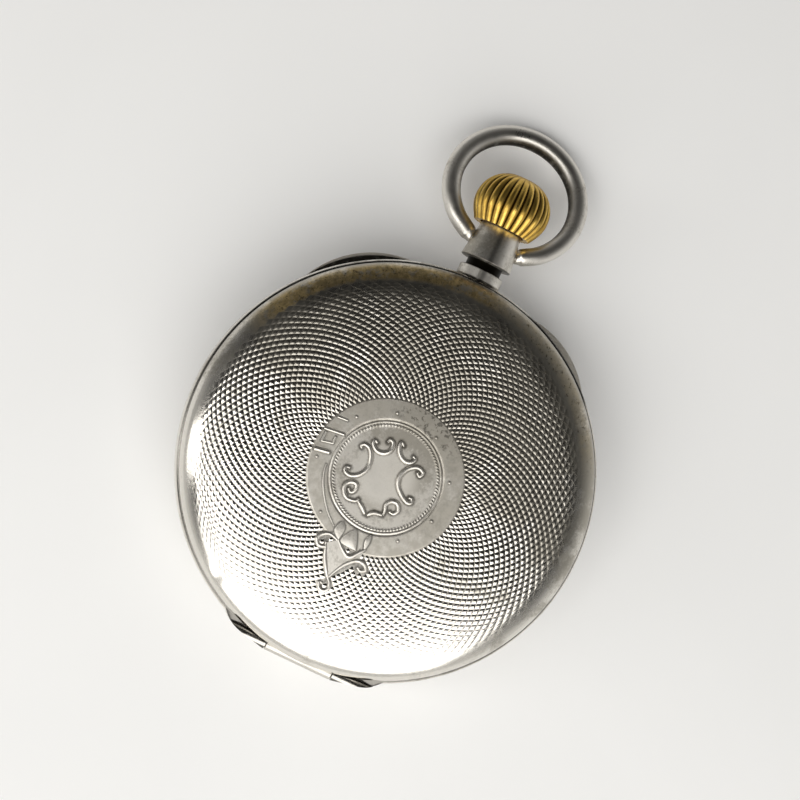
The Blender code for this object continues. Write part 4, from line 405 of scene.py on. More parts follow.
def silverFinish(name, patina=0.5, tarnish=(), dirtAndShade=0.0, rough=0.0, shadeLean=0.0, grimeAndShade=(), rubbed=False):
    # patina: how much grey lies over the bright metal; the lean is painted shade, more of that grey towards
    # the upper right of the view, away from the window lamp
    # tarnish: bands of (radii, angles, share), then how dark the recess layer gets, a layer of dirt and
    # painted shade in the hollows
    # the strips are soot and painted shade at seams, grooves and gaps, each as (axis, low, high, softness,
    # share, and two angles if not all round)
    o = wornSilver
    s = NodeSheet(name)
    axes = s.split()
    far, angle = s.polar()
    grain = s.noise(*o["grain"])
    worn = s.plus(s.times(s.noise(*o["cloud"], warp=0.4), 0.75), s.times(grain, 0.25))
    # painted shade: greyer towards the upper right of the view, away from the window lamp
    if shadeLean:
        way = imageUp * o["shadeLeanWay"][0] + imageRight * o["shadeLeanWay"][1]
        upward = s.plus(s.times(axes[0], way.x / mm), s.times(axes[1], way.y / mm))
        worn = s.plus(worn, s.ramp(upward, *o["shadeLeanReach"], -shadeLean, shadeLean))
    colour = s.mix(s.ramp(worn, 0.62 - 0.3 * patina, 0.78 - 0.3 * patina), o["bright"], o["grey"])
    pits = s.ramp(s.noise(*o["pit"]), 0.70, 0.78)
    colour = s.mix(s.times(pits, 0.45), colour, o["dark"])
    roughness = s.plus(s.ramp(worn, 0.3, 0.75, o["roughLow"], o["roughHigh"]), rough)
    for radii, angles, amount in tarnish:
        ring = s.times(s.window(far, *radii, 0.35), s.window(angle, *angles, 7.0))
        band = s.times(ring, s.times(s.ramp(s.noise(*o["patch"]), 0.30, 0.52), amount))
        stain = s.mix(s.ramp(s.noise(*o["stainGrain"]), 0.34, 0.64), o["tarnish"], o["stain"])
        colour = s.mix(band, colour, stain)
        spots = s.times(ring, s.ramp(s.noise(*o["spot"]), 0.56, 0.66))
        colour = s.mix(s.times(spots, 0.7), colour, o["dark"])
        roughness = s.plus(roughness, s.times(band, 0.12))
    # the recess layer paints dirt and shade into hollows, seams and grooves
    if dirtAndShade:
        smudge = s.ramp(s.noise(*o["smudge"]), 0.25, 0.55, 0.82, 1.0)
        deep = s.times(s.attribute("recess"), s.times(smudge, dirtAndShade))
        colour = s.mix(deep, colour, o["dark"])
        roughness = s.plus(roughness, s.times(deep, 0.15))
    # strips of soot and painted shade at seams, grooves and gaps
    for axis, low, high, soft, amount, *turns in grimeAndShade:
        strip = s.window(s.math("DIVIDE", axes[axis], mm), low, high, soft)
        if turns:
            strip = s.times(strip, s.window(angle, *turns, 3.0))
        colour = s.mix(s.times(strip, amount), colour, o["sootAndShade"])
    if rubbed:
        colour, roughness = rubbedOrnament(s, colour, roughness)
    hair = s.plus(s.noise(*o["scratch"], stretch=(1.0, 0.06, 1.0)),
                  s.noise(*o["crossScratch"], stretch=(0.05, 1.0, 1.0)))
    normal = s.bump(hair, 0.10, 0.02)
    normal = s.bump(s.math("SUBTRACT", grain, s.times(pits, 1.5)), 0.16, 0.03, normal)
    return s.set(Base_Color=colour, Metallic=1.0, Roughness=roughness, Normal=normal)


def rubbedOrnament(s, colour, roughness):
    # handling has dulled the strap and polished the middle of the field
    # stains stay at the strap's upper right
    o, silver = lidOrnament, wornSilver
    reach, angle = s.polar(o["centre"])
    clean = s.math("SUBTRACT", 1.0, s.attribute("recess"))
    plain = s.times(s.ramp(reach, o["strapOuter"] - 0.1, o["patternStart"], 1.0, 0.0), s.attribute("outside"))
    strap = s.times(plain, s.ramp(reach, o["strapInner"] - 0.1, o["strapInner"] + 0.1, 0.1, 1.0))
    dulled = s.times(strap, s.ramp(s.noise(*silver["dulled"]), 0.34, 0.62, 0.1, 1.0))
    colour = s.mix(s.times(dulled, clean), colour, silver["rubbed"])
    field = s.times(plain, s.ramp(reach, *o["fieldPolish"], 0.80, 0.0))
    colour = s.mix(s.times(field, clean), colour, silver["polished"])
    stained = s.times(strap, s.window(angle, *o["strapStain"], 16.0))
    colour = s.mix(s.times(stained, 0.45), colour, silver["grey"])
    specks = s.times(s.ramp(s.noise(*silver["speck"]), 0.53, 0.61), stained)
    colour = s.mix(s.times(specks, 0.6), colour, silver["dark"])
    return colour, s.plus(roughness, s.times(plain, 0.22))


crownGilt = {"bright": (0.76, 0.51, 0.125), "worn": (0.54, 0.34, 0.07), "groove": (0.045, 0.026, 0.006)}


def crownFinish():
    s = NodeSheet("crownGilt")
    deep = s.attribute("recess")
    worn = s.noise(1.5, 4.0, 0.6)
    colour = s.mix(s.ramp(worn, 0.35, 0.7), crownGilt["bright"], crownGilt["worn"])
    # dirt and painted shade in the grooves between the ribs
    colour = s.mix(s.ramp(deep, 0.10, 0.85, 0.0, 0.94), colour, crownGilt["groove"])
    normal = s.bump(s.noise(0.12, 3.0, 0.6), 0.22, 0.02)
    rough = s.plus(s.ramp(worn, 0.3, 0.7, 0.24, 0.36), s.times(deep, 0.22))
    return s.set(Base_Color=colour, Metallic=1.0, Roughness=rough, Normal=normal)


def giltFinish(name, bright, dull, grainSize, rough):
    # frosted and gilded brass, fine even grain
    s = NodeSheet(name)
    grain = s.noise(grainSize, 3.0, 0.7)
    colour = s.mix(s.ramp(s.noise(4.0, 4.0, 0.6), 0.3, 0.72), bright, dull)
    roughness = s.ramp(grain, 0.3, 0.7, rough - 0.06, rough + 0.08)
    return s.set(Base_Color=colour, Metallic=1.0, Roughness=roughness, Normal=s.bump(grain, 0.30, 0.02))


def steelFinish(name, bright, dull, rough):
    # drawn and polished steel with hair lines
    s = NodeSheet(name)
    lines = s.noise(0.3, 3.0, 0.6, stretch=(0.08, 1.0, 1.0))
    colour = s.mix(s.ramp(s.noise(2.5, 3.0, 0.5), 0.3, 0.7), bright, dull)
    roughness = s.ramp(lines, 0.25, 0.75, rough - 0.06, rough + 0.10)
    return s.set(Base_Color=colour, Metallic=1.0, Roughness=roughness, Normal=s.bump(lines, 0.14, 0.015))


dialEnamel = {"white": (0.86, 0.85, 0.81), "aged": (0.82, 0.80, 0.75), "speck": (0.55, 0.50, 0.42),
              "ink": (0.012, 0.012, 0.016), "inkWorn": (0.06, 0.055, 0.05)}


def enamelFinish():
    s = NodeSheet("dialEnamel")
    cloud = s.noise(5.0, 3.0, 0.5)
    colour = s.mix(s.ramp(cloud, 0.3, 0.7), dialEnamel["white"], dialEnamel["aged"])
    colour = s.mix(s.ramp(s.noise(0.3, 2.0, 0.5), 0.74, 0.80, 0.0, 0.35), colour, dialEnamel["speck"])
    normal = s.bump(s.noise(1.4, 2.0, 0.4), 0.05, 0.03)
    return s.set(Base_Color=colour, Roughness=s.ramp(cloud, 0.3, 0.7, 0.12, 0.22), Normal=normal,
                 Coat_Weight=0.5, Coat_Roughness=0.05)


def inkFinish():
    s = NodeSheet("dialInk")
    worn = s.noise(0.5, 3.0, 0.6)
    colour = s.mix(s.ramp(worn, 0.4, 0.75), dialEnamel["ink"], dialEnamel["inkWorn"])
    return s.set(Base_Color=colour, Roughness=s.ramp(worn, 0.3, 0.7, 0.22, 0.40))


def glassFinish():
    s = NodeSheet("crystalGlass")
    smear = s.noise(6.0, 4.0, 0.6)
    hair = s.noise(0.3, 2.0, 0.5, stretch=(1.0, 0.05, 1.0))
    return s.set(Base_Color=(0.96, 0.98, 0.98, 1.0), Transmission_Weight=1.0, IOR=1.5,
                 Roughness=s.ramp(smear, 0.4, 0.8, 0.0, 0.05), Normal=s.bump(hair, 0.02, 0.01))


finishes = {
    # lid: dirt and painted shade in the recesses, and painted shade greying it towards the upper right
    "lid": silverFinish("lidSilver", 0.60, dirtAndShade=0.80, shadeLean=0.10, rubbed=True,
                        # soot and painted shade along the lid's lower rim at the seam
                        grimeAndShade=[(2, 9.0, 9.65, 0.2, 0.9)],
                        tarnish=[((22.5, 24.25), (-8.0, 66.0), 0.9), ((22.6, 24.2), (-62.0, -12.0), 0.25)]),
    # grains: painted shade greying them towards the upper right
    "grains": silverFinish("grainSilver", 0.55, shadeLean=0.14, rough=-0.05),
    "chased": silverFinish("chasedSilver", 0.30, rough=0.12),
    "band": silverFinish("bandSilver", 0.45, grimeAndShade=[
        # band: soot and painted shade along the top and bottom seams, darker on the hinge side
        (2, 9.18, 10.0, 0.06, 0.75), (2, 4.0, 4.82, 0.06, 0.75), (0, -27.0, -24.1, 0.20, 0.2),
        # painted shadow on the band's upper edge beside the back cover's lip
        (2, 8.85, 10.0, 0.05, 0.95, -46.0, -17.0)]),
    "hinge": silverFinish("hingeSilver", 0.35, rough=0.14, grimeAndShade=[(0, -27.0, -24.0, 0.25, 0.15)]),
    "back": silverFinish("backSilver", 0.22, dirtAndShade=0.97),
    # lips: painted shade in the hollow behind them
    "lip": silverFinish("lipSilver", 0.0, dirtAndShade=0.95, rough=0.48),
    "tail": silverFinish("tailSilver", 0.50, rough=0.14),
    # pendant: soot and painted shade in the groove between collar and neck, and a darker strip along its top
    # and bottom line
    "pendant": silverFinish("pendantSilver", 0.42, rough=0.10,
                            grimeAndShade=[(0, 26.25, 27.35, 0.10, 1.0), (1, -0.3, 0.3, 0.28, 0.6)]),
    # bow: dirt and painted shade on the inside of the ring
    "bow": silverFinish("bowSilver", 0.30, dirtAndShade=0.98, rough=0.08),
    "inside": silverFinish("insideSilver", 0.15),
    "crown": crownFinish(),
    "gilt": giltFinish("frostedGilt", (0.83, 0.63, 0.31), (0.74, 0.53, 0.24), 0.10, 0.34),
    "brass": giltFinish("wheelBrass", (0.82, 0.64, 0.30), (0.70, 0.51, 0.22), 0.25, 0.24),
    "steel": steelFinish("polishedSteel", (0.62, 0.63, 0.65), (0.47, 0.48, 0.50), 0.20),
    "blued": steelFinish("bluedSteel", (0.035, 0.065, 0.32), (0.02, 0.035, 0.17), 0.20),
    "enamel": enamelFinish(),
    "ink": inkFinish(),
    "glass": glassFinish(),
}
print("finishes made:", len(finishes))


# case covers

def lidHeight(x, y):
    c = caseSize
    return c["lidRim"] + coverCurve(c["coverRadius"], c["lidRise"], c["lidFullness"], math.hypot(x, y))


# chased ornament of the lid, as the photo shows it, in millimetres right and up from the shield's middle
cartouche = {
    "ribRadius": 0.28, "ribFlat": 0.75, "ribEnd": 0.45, "ribTip": 0.06, "sides": 10, "smooth": 7,
    "barSteps": 14, "barRings": 4, "strapLine": 0.12, "scrollLift": 0.04, "tailLift": 0.05, "dotRadius": 0.17,
    "dotLift": 0.03, "leafEdge": 0.11, "leafSmooth": 6, "leafLift": 0.22, "plateLift": 0.11,
    # the outline is a painted shadow, with some dirt, beside the raised ornament
    "plateRoot": 0.12, "outline": 0.24, "outlineStart": 0.9, "outlineDirtAndShade": 0.95,
    "scrolls": [
        ((-2.75, 3.45), (-2.85, 3.75), (-2.45, 3.9), (-1.9, 3.45), (-1.72, 2.35), (-2.1, 1.15),
         (-3.1, 0.38), (-4.15, 0.3), (-4.75, 0.8), (-4.6, 1.3), (-4.2, 1.2)),
        ((-0.95, 4.05), (-1.25, 4.35), (-1.45, 3.9), (-1.05, 3.15), (-0.25, 2.85), (0.55, 3.15),
         (0.9, 3.95), (0.55, 4.4), (0.25, 4.1)),
        ((2.15, 3.65), (1.85, 4.1), (1.6, 3.5), (1.7, 2.6), (2.25, 1.9), (2.95, 1.75), (3.45, 2.1),
         (3.25, 2.45)),
        ((3.7, 0.55), (3.95, 0.1), (4.35, 0.55), (3.75, 1.15), (2.7, 1.05), (1.75, 0.3), (1.42, -0.8),
         (1.75, -1.9), (2.4, -2.85), (2.95, -2.95), (3.05, -2.5), (2.7, -2.35)),
        ((-4.35, -1.2), (-4.1, -1.65), (-3.6, -1.45), (-3.4, -0.8), (-3.9, -0.45), (-4.6, -0.65),
         (-4.9, -1.4), (-4.55, -2.3), (-3.6, -2.65), (-3.15, -2.45)),
        ((-3.3, -2.55), (-2.85, -3.25), (-2.45, -4.2)),
        ((-2.2, -4.35), (-1.4, -4.05), (-0.45, -4.35)),
        ((0.4, -3.95), (0.9, -4.2), (1.45, -3.8), (1.35, -3.05), (0.7, -2.75), (0.05, -3.1),
         (-0.12, -3.85), (-0.35, -4.35)),
    ],
    "tail": [
        ((-5.64, -7.17), (-6.47, -6.47), (-7.41, -6.47), (-8.0, -7.06), (-7.76, -7.76), (-7.06, -7.88),
         (-6.94, -7.41)),
        ((-6.94, -7.81), (-7.06, -9.17), (-6.94, -10.58), (-6.77, -11.52)),
        ((-6.77, -11.52), (-5.29, -10.35), (-4.12, -9.76), (-3.18, -9.64), (-2.47, -10.11),
         (-2.35, -10.7), (-2.94, -10.82), (-3.29, -10.4)),
        ((-6.77, -11.52), (-6.54, -12.18), (-6.7, -12.82), (-7.29, -13.05), (-7.76, -12.65),
         (-7.71, -12.0), (-7.36, -12.18)),
        ((-5.53, -7.17), (-4.94, -8.47), (-4.23, -9.17), (-2.94, -8.58), (-2.42, -8.35)),
    ],
    "leaves": [
        ((-5.53, -7.17), (-6.0, -6.0), (-5.1, -5.06), (-4.77, -5.88)),
        ((-3.53, -8.47), (-5.29, -7.29), (-3.6, -6.0), (-3.36, -7.06)),
        ((-2.59, -8.58), (-2.42, -7.29), (-1.72, -6.66), (-1.88, -7.53)),
    ],
    "buckle": [  # bars as (start, end, radius)
        ((-8.3, 3.45), (-6.6, 2.98), 0.26), ((-7.15, 5.8), (-4.85, 5.02), 0.17),
        ((-7.45, 4.4), (-6.95, 5.35), 0.15), ((-5.6, 7.1), (-4.45, 6.65), 0.13),
        ((-6.15, 4.05), (-5.85, 4.75), 0.14), ((-7.55, 4.35), (-6.1, 4.0), 0.12),
    ],
    "strapLines": [((-6.05, -5.6), (-6.85, -3.6), (-7.25, -1.4), (-7.25, 0.4), (-6.95, 1.6))],
    "dots": [
        (-3.4, 7.05), (1.35, 7.47), (-8.05, 2.5), (7.45, -0.63), (5.35, -5.1), (1.38, -7.35),
        (-7.6, -3.9), (5.9, 4.6),
    ],
    "tailPlate": [
        (-5.53, -7.17), (-6.94, -7.5), (-7.06, -9.17), (-6.94, -10.58), (-6.77, -11.52),
        (-5.29, -10.35), (-4.12, -9.76), (-3.18, -9.64), (-2.42, -8.35), (-2.94, -8.58), (-4.23, -9.17),
        (-4.94, -8.47),
    ],
}


def onLid(point, lift):
    # a point of the ornament set on the lid
    flat = Vector(lidOrnament["centre"]) + imageRight * point[0] + imageUp * point[1]
    return Vector((flat.x, flat.y, lidHeight(flat.x, flat.y) + lift))


def ornamentLines():
    # every scroll, leaf, bar and dot as (points, radius)
    o = cartouche
    smooth = o["smooth"]
    lines = [(throughPoints(points, smooth), o["ribRadius"]) for points in o["scrolls"] + o["tail"]]
    lines += [(throughPoints([*points, points[0]], smooth), o["leafEdge"]) for points in o["leaves"]]
    lines += [(throughPoints(points, smooth), o["strapLine"]) for points in o["strapLines"]]
    lines += [(throughPoints((a, b), o["barSteps"]), radius) for a, b, radius in o["buckle"]]
    return lines + [([spot], o["dotRadius"]) for spot in o["dots"]]


def outlineFinder():
    # how dark the painted shadow and dirt beside the raised ornament are, at a place on the lid
    o = cartouche
    spots = [(onLid(p, 0.0), radius) for points, radius in ornamentLines() for p in points]
    tree = KDTree(len(spots))
    for k, (spot, radius) in enumerate(spots):
        tree.insert((spot.x, spot.y, 0.0), k)
    tree.balance()

    def dark(x, y):
        near, k, far = tree.find((x, y, 0.0))
        edge = spots[k][1] * o["outlineStart"]
        return o["outlineDirtAndShade"] * (1.0 - smoothStep(edge, edge + o["outline"], far))

    return dark


def lidRelief(reach, turn):
    # height over the plain dome and how dark the dirt and painted shade are there, at a distance from the
    # ornament's middle
    o = lidOrnament
    if reach >= o["patternStart"]:
        fade = 1.0 - smoothStep(o["fadeFrom"], o["patternEnd"], reach)
        return -o["cutDepth"] * fade, o["cutDirtAndShade"] * fade
    if reach > o["strapOuter"]:
        return -o["grooveDepth"], o["grooveDirtAndShade"]
    foot = o["strapInner"] - o["strapFoot"]
    if reach >= foot:
        strap = smoothStep(foot, o["strapInner"] + o["strapBrow"], reach)
        strap *= 1.0 - smoothStep(o["strapOuter"] - o["strapEdge"], o["strapOuter"], reach)
        return o["strapLift"] * strap, o["strapDirtAndShade"] * (1.0 - strap)
    bead = max(0.0, 1.0 - ((reach - o["beadRing"]) / o["beadWidth"]) ** 2)
    rope = max(0.0, 1.0 - ((reach - o["ropeRing"]) / o["ropeWidth"]) ** 2)
    twist = 0.5 + 0.5 * math.cos(math.tau * (turn * o["cells"] + (reach - o["ropeRing"]) * o["ropeLean"]))
    lift = o["beadLift"] * bead + o["ropeLift"] * rope * twist - o["fieldDrop"]
    line = o["lineDirtAndShade"] if o["lineRing"][0] < reach < o["lineRing"][1] else 0.0
    return lift, min(o["ropeDirtAndShade"] * rope * (1.0 - twist) + line, 1.0)


def wearLeft(x, y):
    # share of the cut relief that handling has left, least towards the photo's lower left
    o = lidOrnament
    way = imageUp * o["wearWay"][0] + imageRight * o["wearWay"][1]
    share = smoothStep(o["wearFrom"], o["wearTo"], way.x * x + way.y * y)
    return o["wearLeast"] + (1.0 - o["wearLeast"]) * share


def ringCentre(reach):
    # rings move from the ornament's middle to the lid's own
    o = lidOrnament
    slide = 1.0 - smoothStep(o["slideFrom"], caseSize["coverRadius"], reach)
    return (o["centre"][0] * slide, o["centre"][1] * slide)


def hingeSpans(inner, outer):
    # the stretches of a hinge at both sides of its middle knuckle
    return [sorted((side * inner, side * outer)) for side in (-1, 1)]


def cutHinge(cover, level):
    # room for the band's knuckles
    c = caseSize
    for low, high in hingeSpans(c["knuckleHalf"] - c["run"], c["hingeHalf"] + c["air"]):
        carve(cover, crossRod(c["knuckleRadius"] + c["hingeRoom"], c["hingeX"], level, low, high))


def makeKnuckle(name, body, level):
    # middle knuckle of a cover, a hollow tube with softened ends
    c = caseSize
    tube, hole, edge = c["knuckleRadius"], c["pinHole"], c["knuckleEdge"]
    reach = c["knuckleHalf"] - c["run"]
    profile = [(hole, -reach), (tube - edge, -reach), (tube, -reach + edge), (tube, reach - edge),
               (tube - edge, reach), (hole, reach)]
    bm = laidOver(lathe(profile, 40), alongY, (c["hingeX"], 0.0, level))
    fitted(toObject(name, bm), body, [], "hinge")


def makeLid():
    c, o = caseSize, lidOrnament
    columns = o["cells"] * o["columnsPerCell"]
    outer, start, count = c["coverRadius"], o["patternStart"], o["patternRings"]
    reaches = evenly(*o["fieldRings"]) + o["ropeRings"] + evenly(*o["strapRings"]) + o["edgeRings"]
    reaches += [start + (o["patternEnd"] - start) * k / count for k in range(count + 1)]
    last, count = reaches[-1], o["rimRings"]
    for k in range(1, count + 1):
        reaches.append(last + (outer - last) * (1.0 - (1.0 - k / count) ** o["rimCrowd"]))
    beside = outlineFinder()
    dents = [(turned(angle, far), size, depth) for angle, far, size, depth in o["dents"]]
    bm = bmesh.new()
    deepLayer = bm.verts.layers.float.new("recess")
    outsideLayer = bm.verts.layers.float.new("outside")
    middle = bm.verts.new((*o["centre"], lidHeight(*o["centre"]) - o["fieldDrop"]))
    middle[outsideLayer] = 1.0
    rings = []
    for reach in reaches:
        ring = []
        for k in range(columns):
            turn = k / columns
            x, y = turned(360.0 * turn, reach, ringCentre(reach))
            lift, deep = lidRelief(reach, turn) if reach <= last else (0.0, 0.0)
            # in the cuts the dirt and painted shade fade with the relief, lightest towards the lower left
            if reach > start:
                deep *= wearLeft(x, y) ** 2
            if reach < o["outlineEnd"]:
                deep = max(deep, beside(x, y))
            for (dx, dy), size, depth in dents:
                lift -= depth * math.exp(-((x - dx) ** 2 + (y - dy) ** 2) / size ** 2)
            v = bm.verts.new((x, y, lidHeight(x, y) + (0.0 if reach >= outer else lift)))
            v[deepLayer] = deep
            v[outsideLayer] = 1.0
            ring.append(v)
        rings.append(ring)
    wall = c["coverWall"]
    inner = coverRings(outer - wall, c["lidRise"] - wall, c["lidFullness"], o["innerRings"])[::-1]
    for radius, height in inner[:-1]:
        rings.append([bm.verts.new((*p, c["lidRim"] + height)) for p in circle(radius, columns)])
    joinRings(bm, rings)
    capRing(bm, rings[0], middle)
    capRing(bm, rings[-1], bm.verts.new((0.0, 0.0, c["lidRim"] + inner[-1][1])))
    lid = toObject("lid", bm)
    cutHinge(lid, c["frontHingeZ"])
    fitted(lid, "front_lid", ["front_cover"], "lid", 48.0)
    makeKnuckle("lidKnuckle", "front_lid", c["frontHingeZ"])


def makeGrains():
    # engine turning: two crossing sets of spiral cuts leave a domed grain in each lozenge
    o = lidOrnament
    bm = bmesh.new()

    def reachAt(row):
        return o["patternStart"] + o["pitch"] / o["pitchFall"] * (1.0 - math.exp(-o["pitchFall"] * row / 2))

    def spot(step, row, lift):
        # step counts half cells round the ornament, row counts half pitches outwards
        reach = reachAt(row)
        x, y = turned(180.0 * step / o["cells"], reach, ringCentre(reach))
        return bm.verts.new((x, y, lidHeight(x, y) + lift))

    def outline(share, lift):
        return [spot(step + share * a, row + share * b, lift) for a, b in ways]

    # tips and sides of a lozenge, in steps and rows from its middle
    ways = ((1.0, 0.0), (0.5, 0.5), (0.0, 1.0), (-0.5, 0.5),
            (-1.0, 0.0), (-0.5, -0.5), (0.0, -1.0), (0.5, -0.5))
    beside = outlineFinder()
    for row in range(o["grainRows"]):
        fade = 1.0 - smoothStep(o["fadeFrom"], o["patternEnd"], reachAt(row))
        if fade < o["fadeLeast"]:
            continue
        for k in range(o["cells"]):
            step = 2 * k + (row + 1) % 2
            middle = turned(180.0 * step / o["cells"], reachAt(row), o["centre"])
            if reachAt(row) < o["outlineEnd"] and beside(*middle) > o["grainRoom"]:
                continue  # the chased ornament has pushed this grain away
            rise = fade * o["grainCrown"] * wearLeft(*middle)
            low = outline(o["grainShare"], -fade * o["cutDepth"] - o["grainRoot"])
            edge = outline(o["grainShare"], 0.0)
            ring = outline(0.5 * o["grainShare"], o["grainShoulder"] * rise)
            bm.faces.new(low[::-1])
            joinRings(bm, (low, edge, ring))
            capRing(bm, ring, spot(step, row, rise))
    fitted(toObject("lidGrains", bm), "front_lid", [], "grains", 40.0)


lipShape = {"thick": 0.5, "steps": 32, "insideSteps": 12, "blunt": 0.75, "root": 0.1, "sink": 0.01,
            "edge": 0.10, "rimDrop": 0.02, "rimLift": 0.03, "rimTop": 0.08, "hollow": 0.08}


def lipOutline(angle, inner, proud):
    # crescent of a thumbnail lip
    o, half, steps = lipShape, caseSize["lipHalfAngle"], lipShape["insideSteps"]
    crescent = []
    for k in range(o["steps"] + 1):
        share = 2.0 * k / o["steps"] - 1.0
        reach = caseSize["coverRadius"] + proud * math.cos(share * math.pi / 2) ** o["blunt"]
        crescent.append(turned(angle + share * half, reach))
    return crescent + [turned(angle + half * (1.0 - 2.0 * k / steps), inner) for k in range(steps + 1)]


def makeLip(name, body, angle, inner, top, proud, rim):
    # lip with a rolled rim for the thumbnail and painted shade in the hollow behind it
    o = lipShape
    high = top - o["sink"]
    low = high - o["thick"]
    bm = bmesh.new()
    dirtAndShade = bm.verts.layers.float.new("recess")
    # level, distance back from the tip, painted shade
    shape = ((low, o["edge"], 0.0), (low + o["edge"], 0.0, 0.0), (high - o["rimDrop"], 0.0, 0.0),
             (high + o["rimLift"], o["rimTop"], 0.0), (high - o["rimDrop"], rim, 0.0),
             (high - o["hollow"], rim + o["edge"], 1.0))
    rings = []
    for level, back, deep in shape:
        ring = [bm.verts.new((x, y, level)) for x, y in lipOutline(angle, inner + o["root"], proud - back)]
        for v in ring:
            v[dirtAndShade] = deep
        rings.append(ring)
    joinRings(bm, rings)
    bm.faces.new(rings[0][::-1])
    bm.faces.new(rings[-1])
    fitted(toObject(name, bm), body, [], "lip", 50.0)


def sectorOutline(middle, half, inner, outer, steps=24):
    turns = [middle - half + 2.0 * half * k / steps for k in range(steps + 1)]
    return [turned(a, outer) for a in turns] + [turned(a, inner) for a in reversed(turns)]


backCover = {"steps": 192, "rings": 22, "innerRings": 14, "restEdge": 0.1, "lip": 1.75, "lipRim": 0.62,
             "lipRoom": 1.0}


def makeBack():
    c, o = caseSize, backCover
    outerRadius, depth, first, fullness = c["coverRadius"], c["backDepth"], c["restRadius"], c["backFullness"]
    innerRadius = outerRadius - c["coverWall"]
    drop = depth - coverCurve(outerRadius, depth, fullness, first)
    stretch = depth / (depth - drop)
    outer = [(first, 0.0)]
    for r, h in coverRings(outerRadius, depth, fullness, o["rings"]):
        if r > first + o["restEdge"]:
            outer.append((r, (depth - h - drop) * stretch))
    inner = coverRings(innerRadius, depth - c["coverWall"], fullness, o["innerRings"])
    profile = [(0.0, c["coverWall"])] + [(r, depth - h) for r, h in inner[1:]] + outer[::-1] + [(0.0, 0.0)]
    back = toObject("back", lathe(profile, o["steps"], closed=False))
    # gap for the dust cover's lip
    room = o["lipRoom"]
    gap = sectorOutline(c["lipAngle"], c["lipHalfAngle"] + room, innerRadius - room, outerRadius + room)
    carve(back, plate(gap, depth - lipShape["thick"], c["bandLow"]))
    cutHinge(back, c["backHingeZ"])
    fitted(back, "back_lid", ["back_cover"], "back")
    makeLip("backLip", "back_lid", -c["lipAngle"], innerRadius, depth, o["lip"], o["lipRim"])
    makeKnuckle("backKnuckle", "back_lid", c["backHingeZ"])


dustCover = {
    "radius": 21.2, "wall": 0.35, "depth": 2.85, "fullness": 4.0, "rim": 4.65, "steps": 160, "rings": 20,
    "innerRings": 14, "knuckle": 0.42, "knuckleHalf": 1.5, "hingeSteps": 28, "hingeHalf": 3.7,
    "hinge": (-21.35, 4.23), "pin": 0.21, "lip": 1.5, "lipRim": 0.28,
}


def makeDustCover():
    c, o = caseSize, dustCover
    base, wall = o["rim"] - o["depth"], o["wall"]
    outer = coverRings(o["radius"], o["depth"], o["fullness"], o["rings"])
    inner = coverRings(o["radius"] - wall, o["depth"] - wall, o["fullness"], o["innerRings"])
    outer, inner = [[(r, base + o["depth"] - h) for r, h in rings] for rings in (outer, inner)]
    profile = [(0.0, base + wall)] + inner[1:] + outer[:0:-1] + [(0.0, base)]
    cover = toObject("dustCover", lathe(profile, o["steps"], closed=False))
    x, z = o["hinge"]
    for low, high in hingeSpans(o["knuckleHalf"] - c["run"], o["hingeHalf"] + c["air"]):
        carve(cover, crossRod(o["knuckle"] + c["air"], x, z, low, high))
    fitted(cover, "dust_lid", ["cuvette"], "inside")
    makeLip("dustLip", "dust_lid", c["lipAngle"], o["radius"] - wall, o["rim"], o["lip"], o["lipRim"])
    half = o["knuckleHalf"] - c["run"]
    profile = [(o["pin"], -half), (o["knuckle"], -half), (o["knuckle"], half), (o["pin"], half)]
    tube = laidOver(lathe(profile, o["hingeSteps"]), alongY, (x, 0.0, z))
    fitted(toObject("dustKnuckle", tube), "dust_lid", [], "inside")


caseBand = {
    "steps": 192, "bore": 20.5, "ledge": 19.9, "ledgeLevel": 6.55, "channelInner": 21.4, "channelWidth": 1.6,
    "channelDepth": 1.0, "chamfer": 0.5, "chamferTurns": (90, 72, 54, 36, 18, 0), "stemHole": 1.2,
    "overcut": 1.0, "liftAngle": 145.0, "notchHalf": 4.0, "notchSink": 0.2, "pinHalf": 6.45,
    "hingeRoot": 0.15, "lugDepth": 1.7, "lugBulge": 0.48, "lugBelly": 1.8, "lugRoot": 0.35, "lugSink": 0.2,
    "lugSteps": 24, "rootSteps": 8,
}


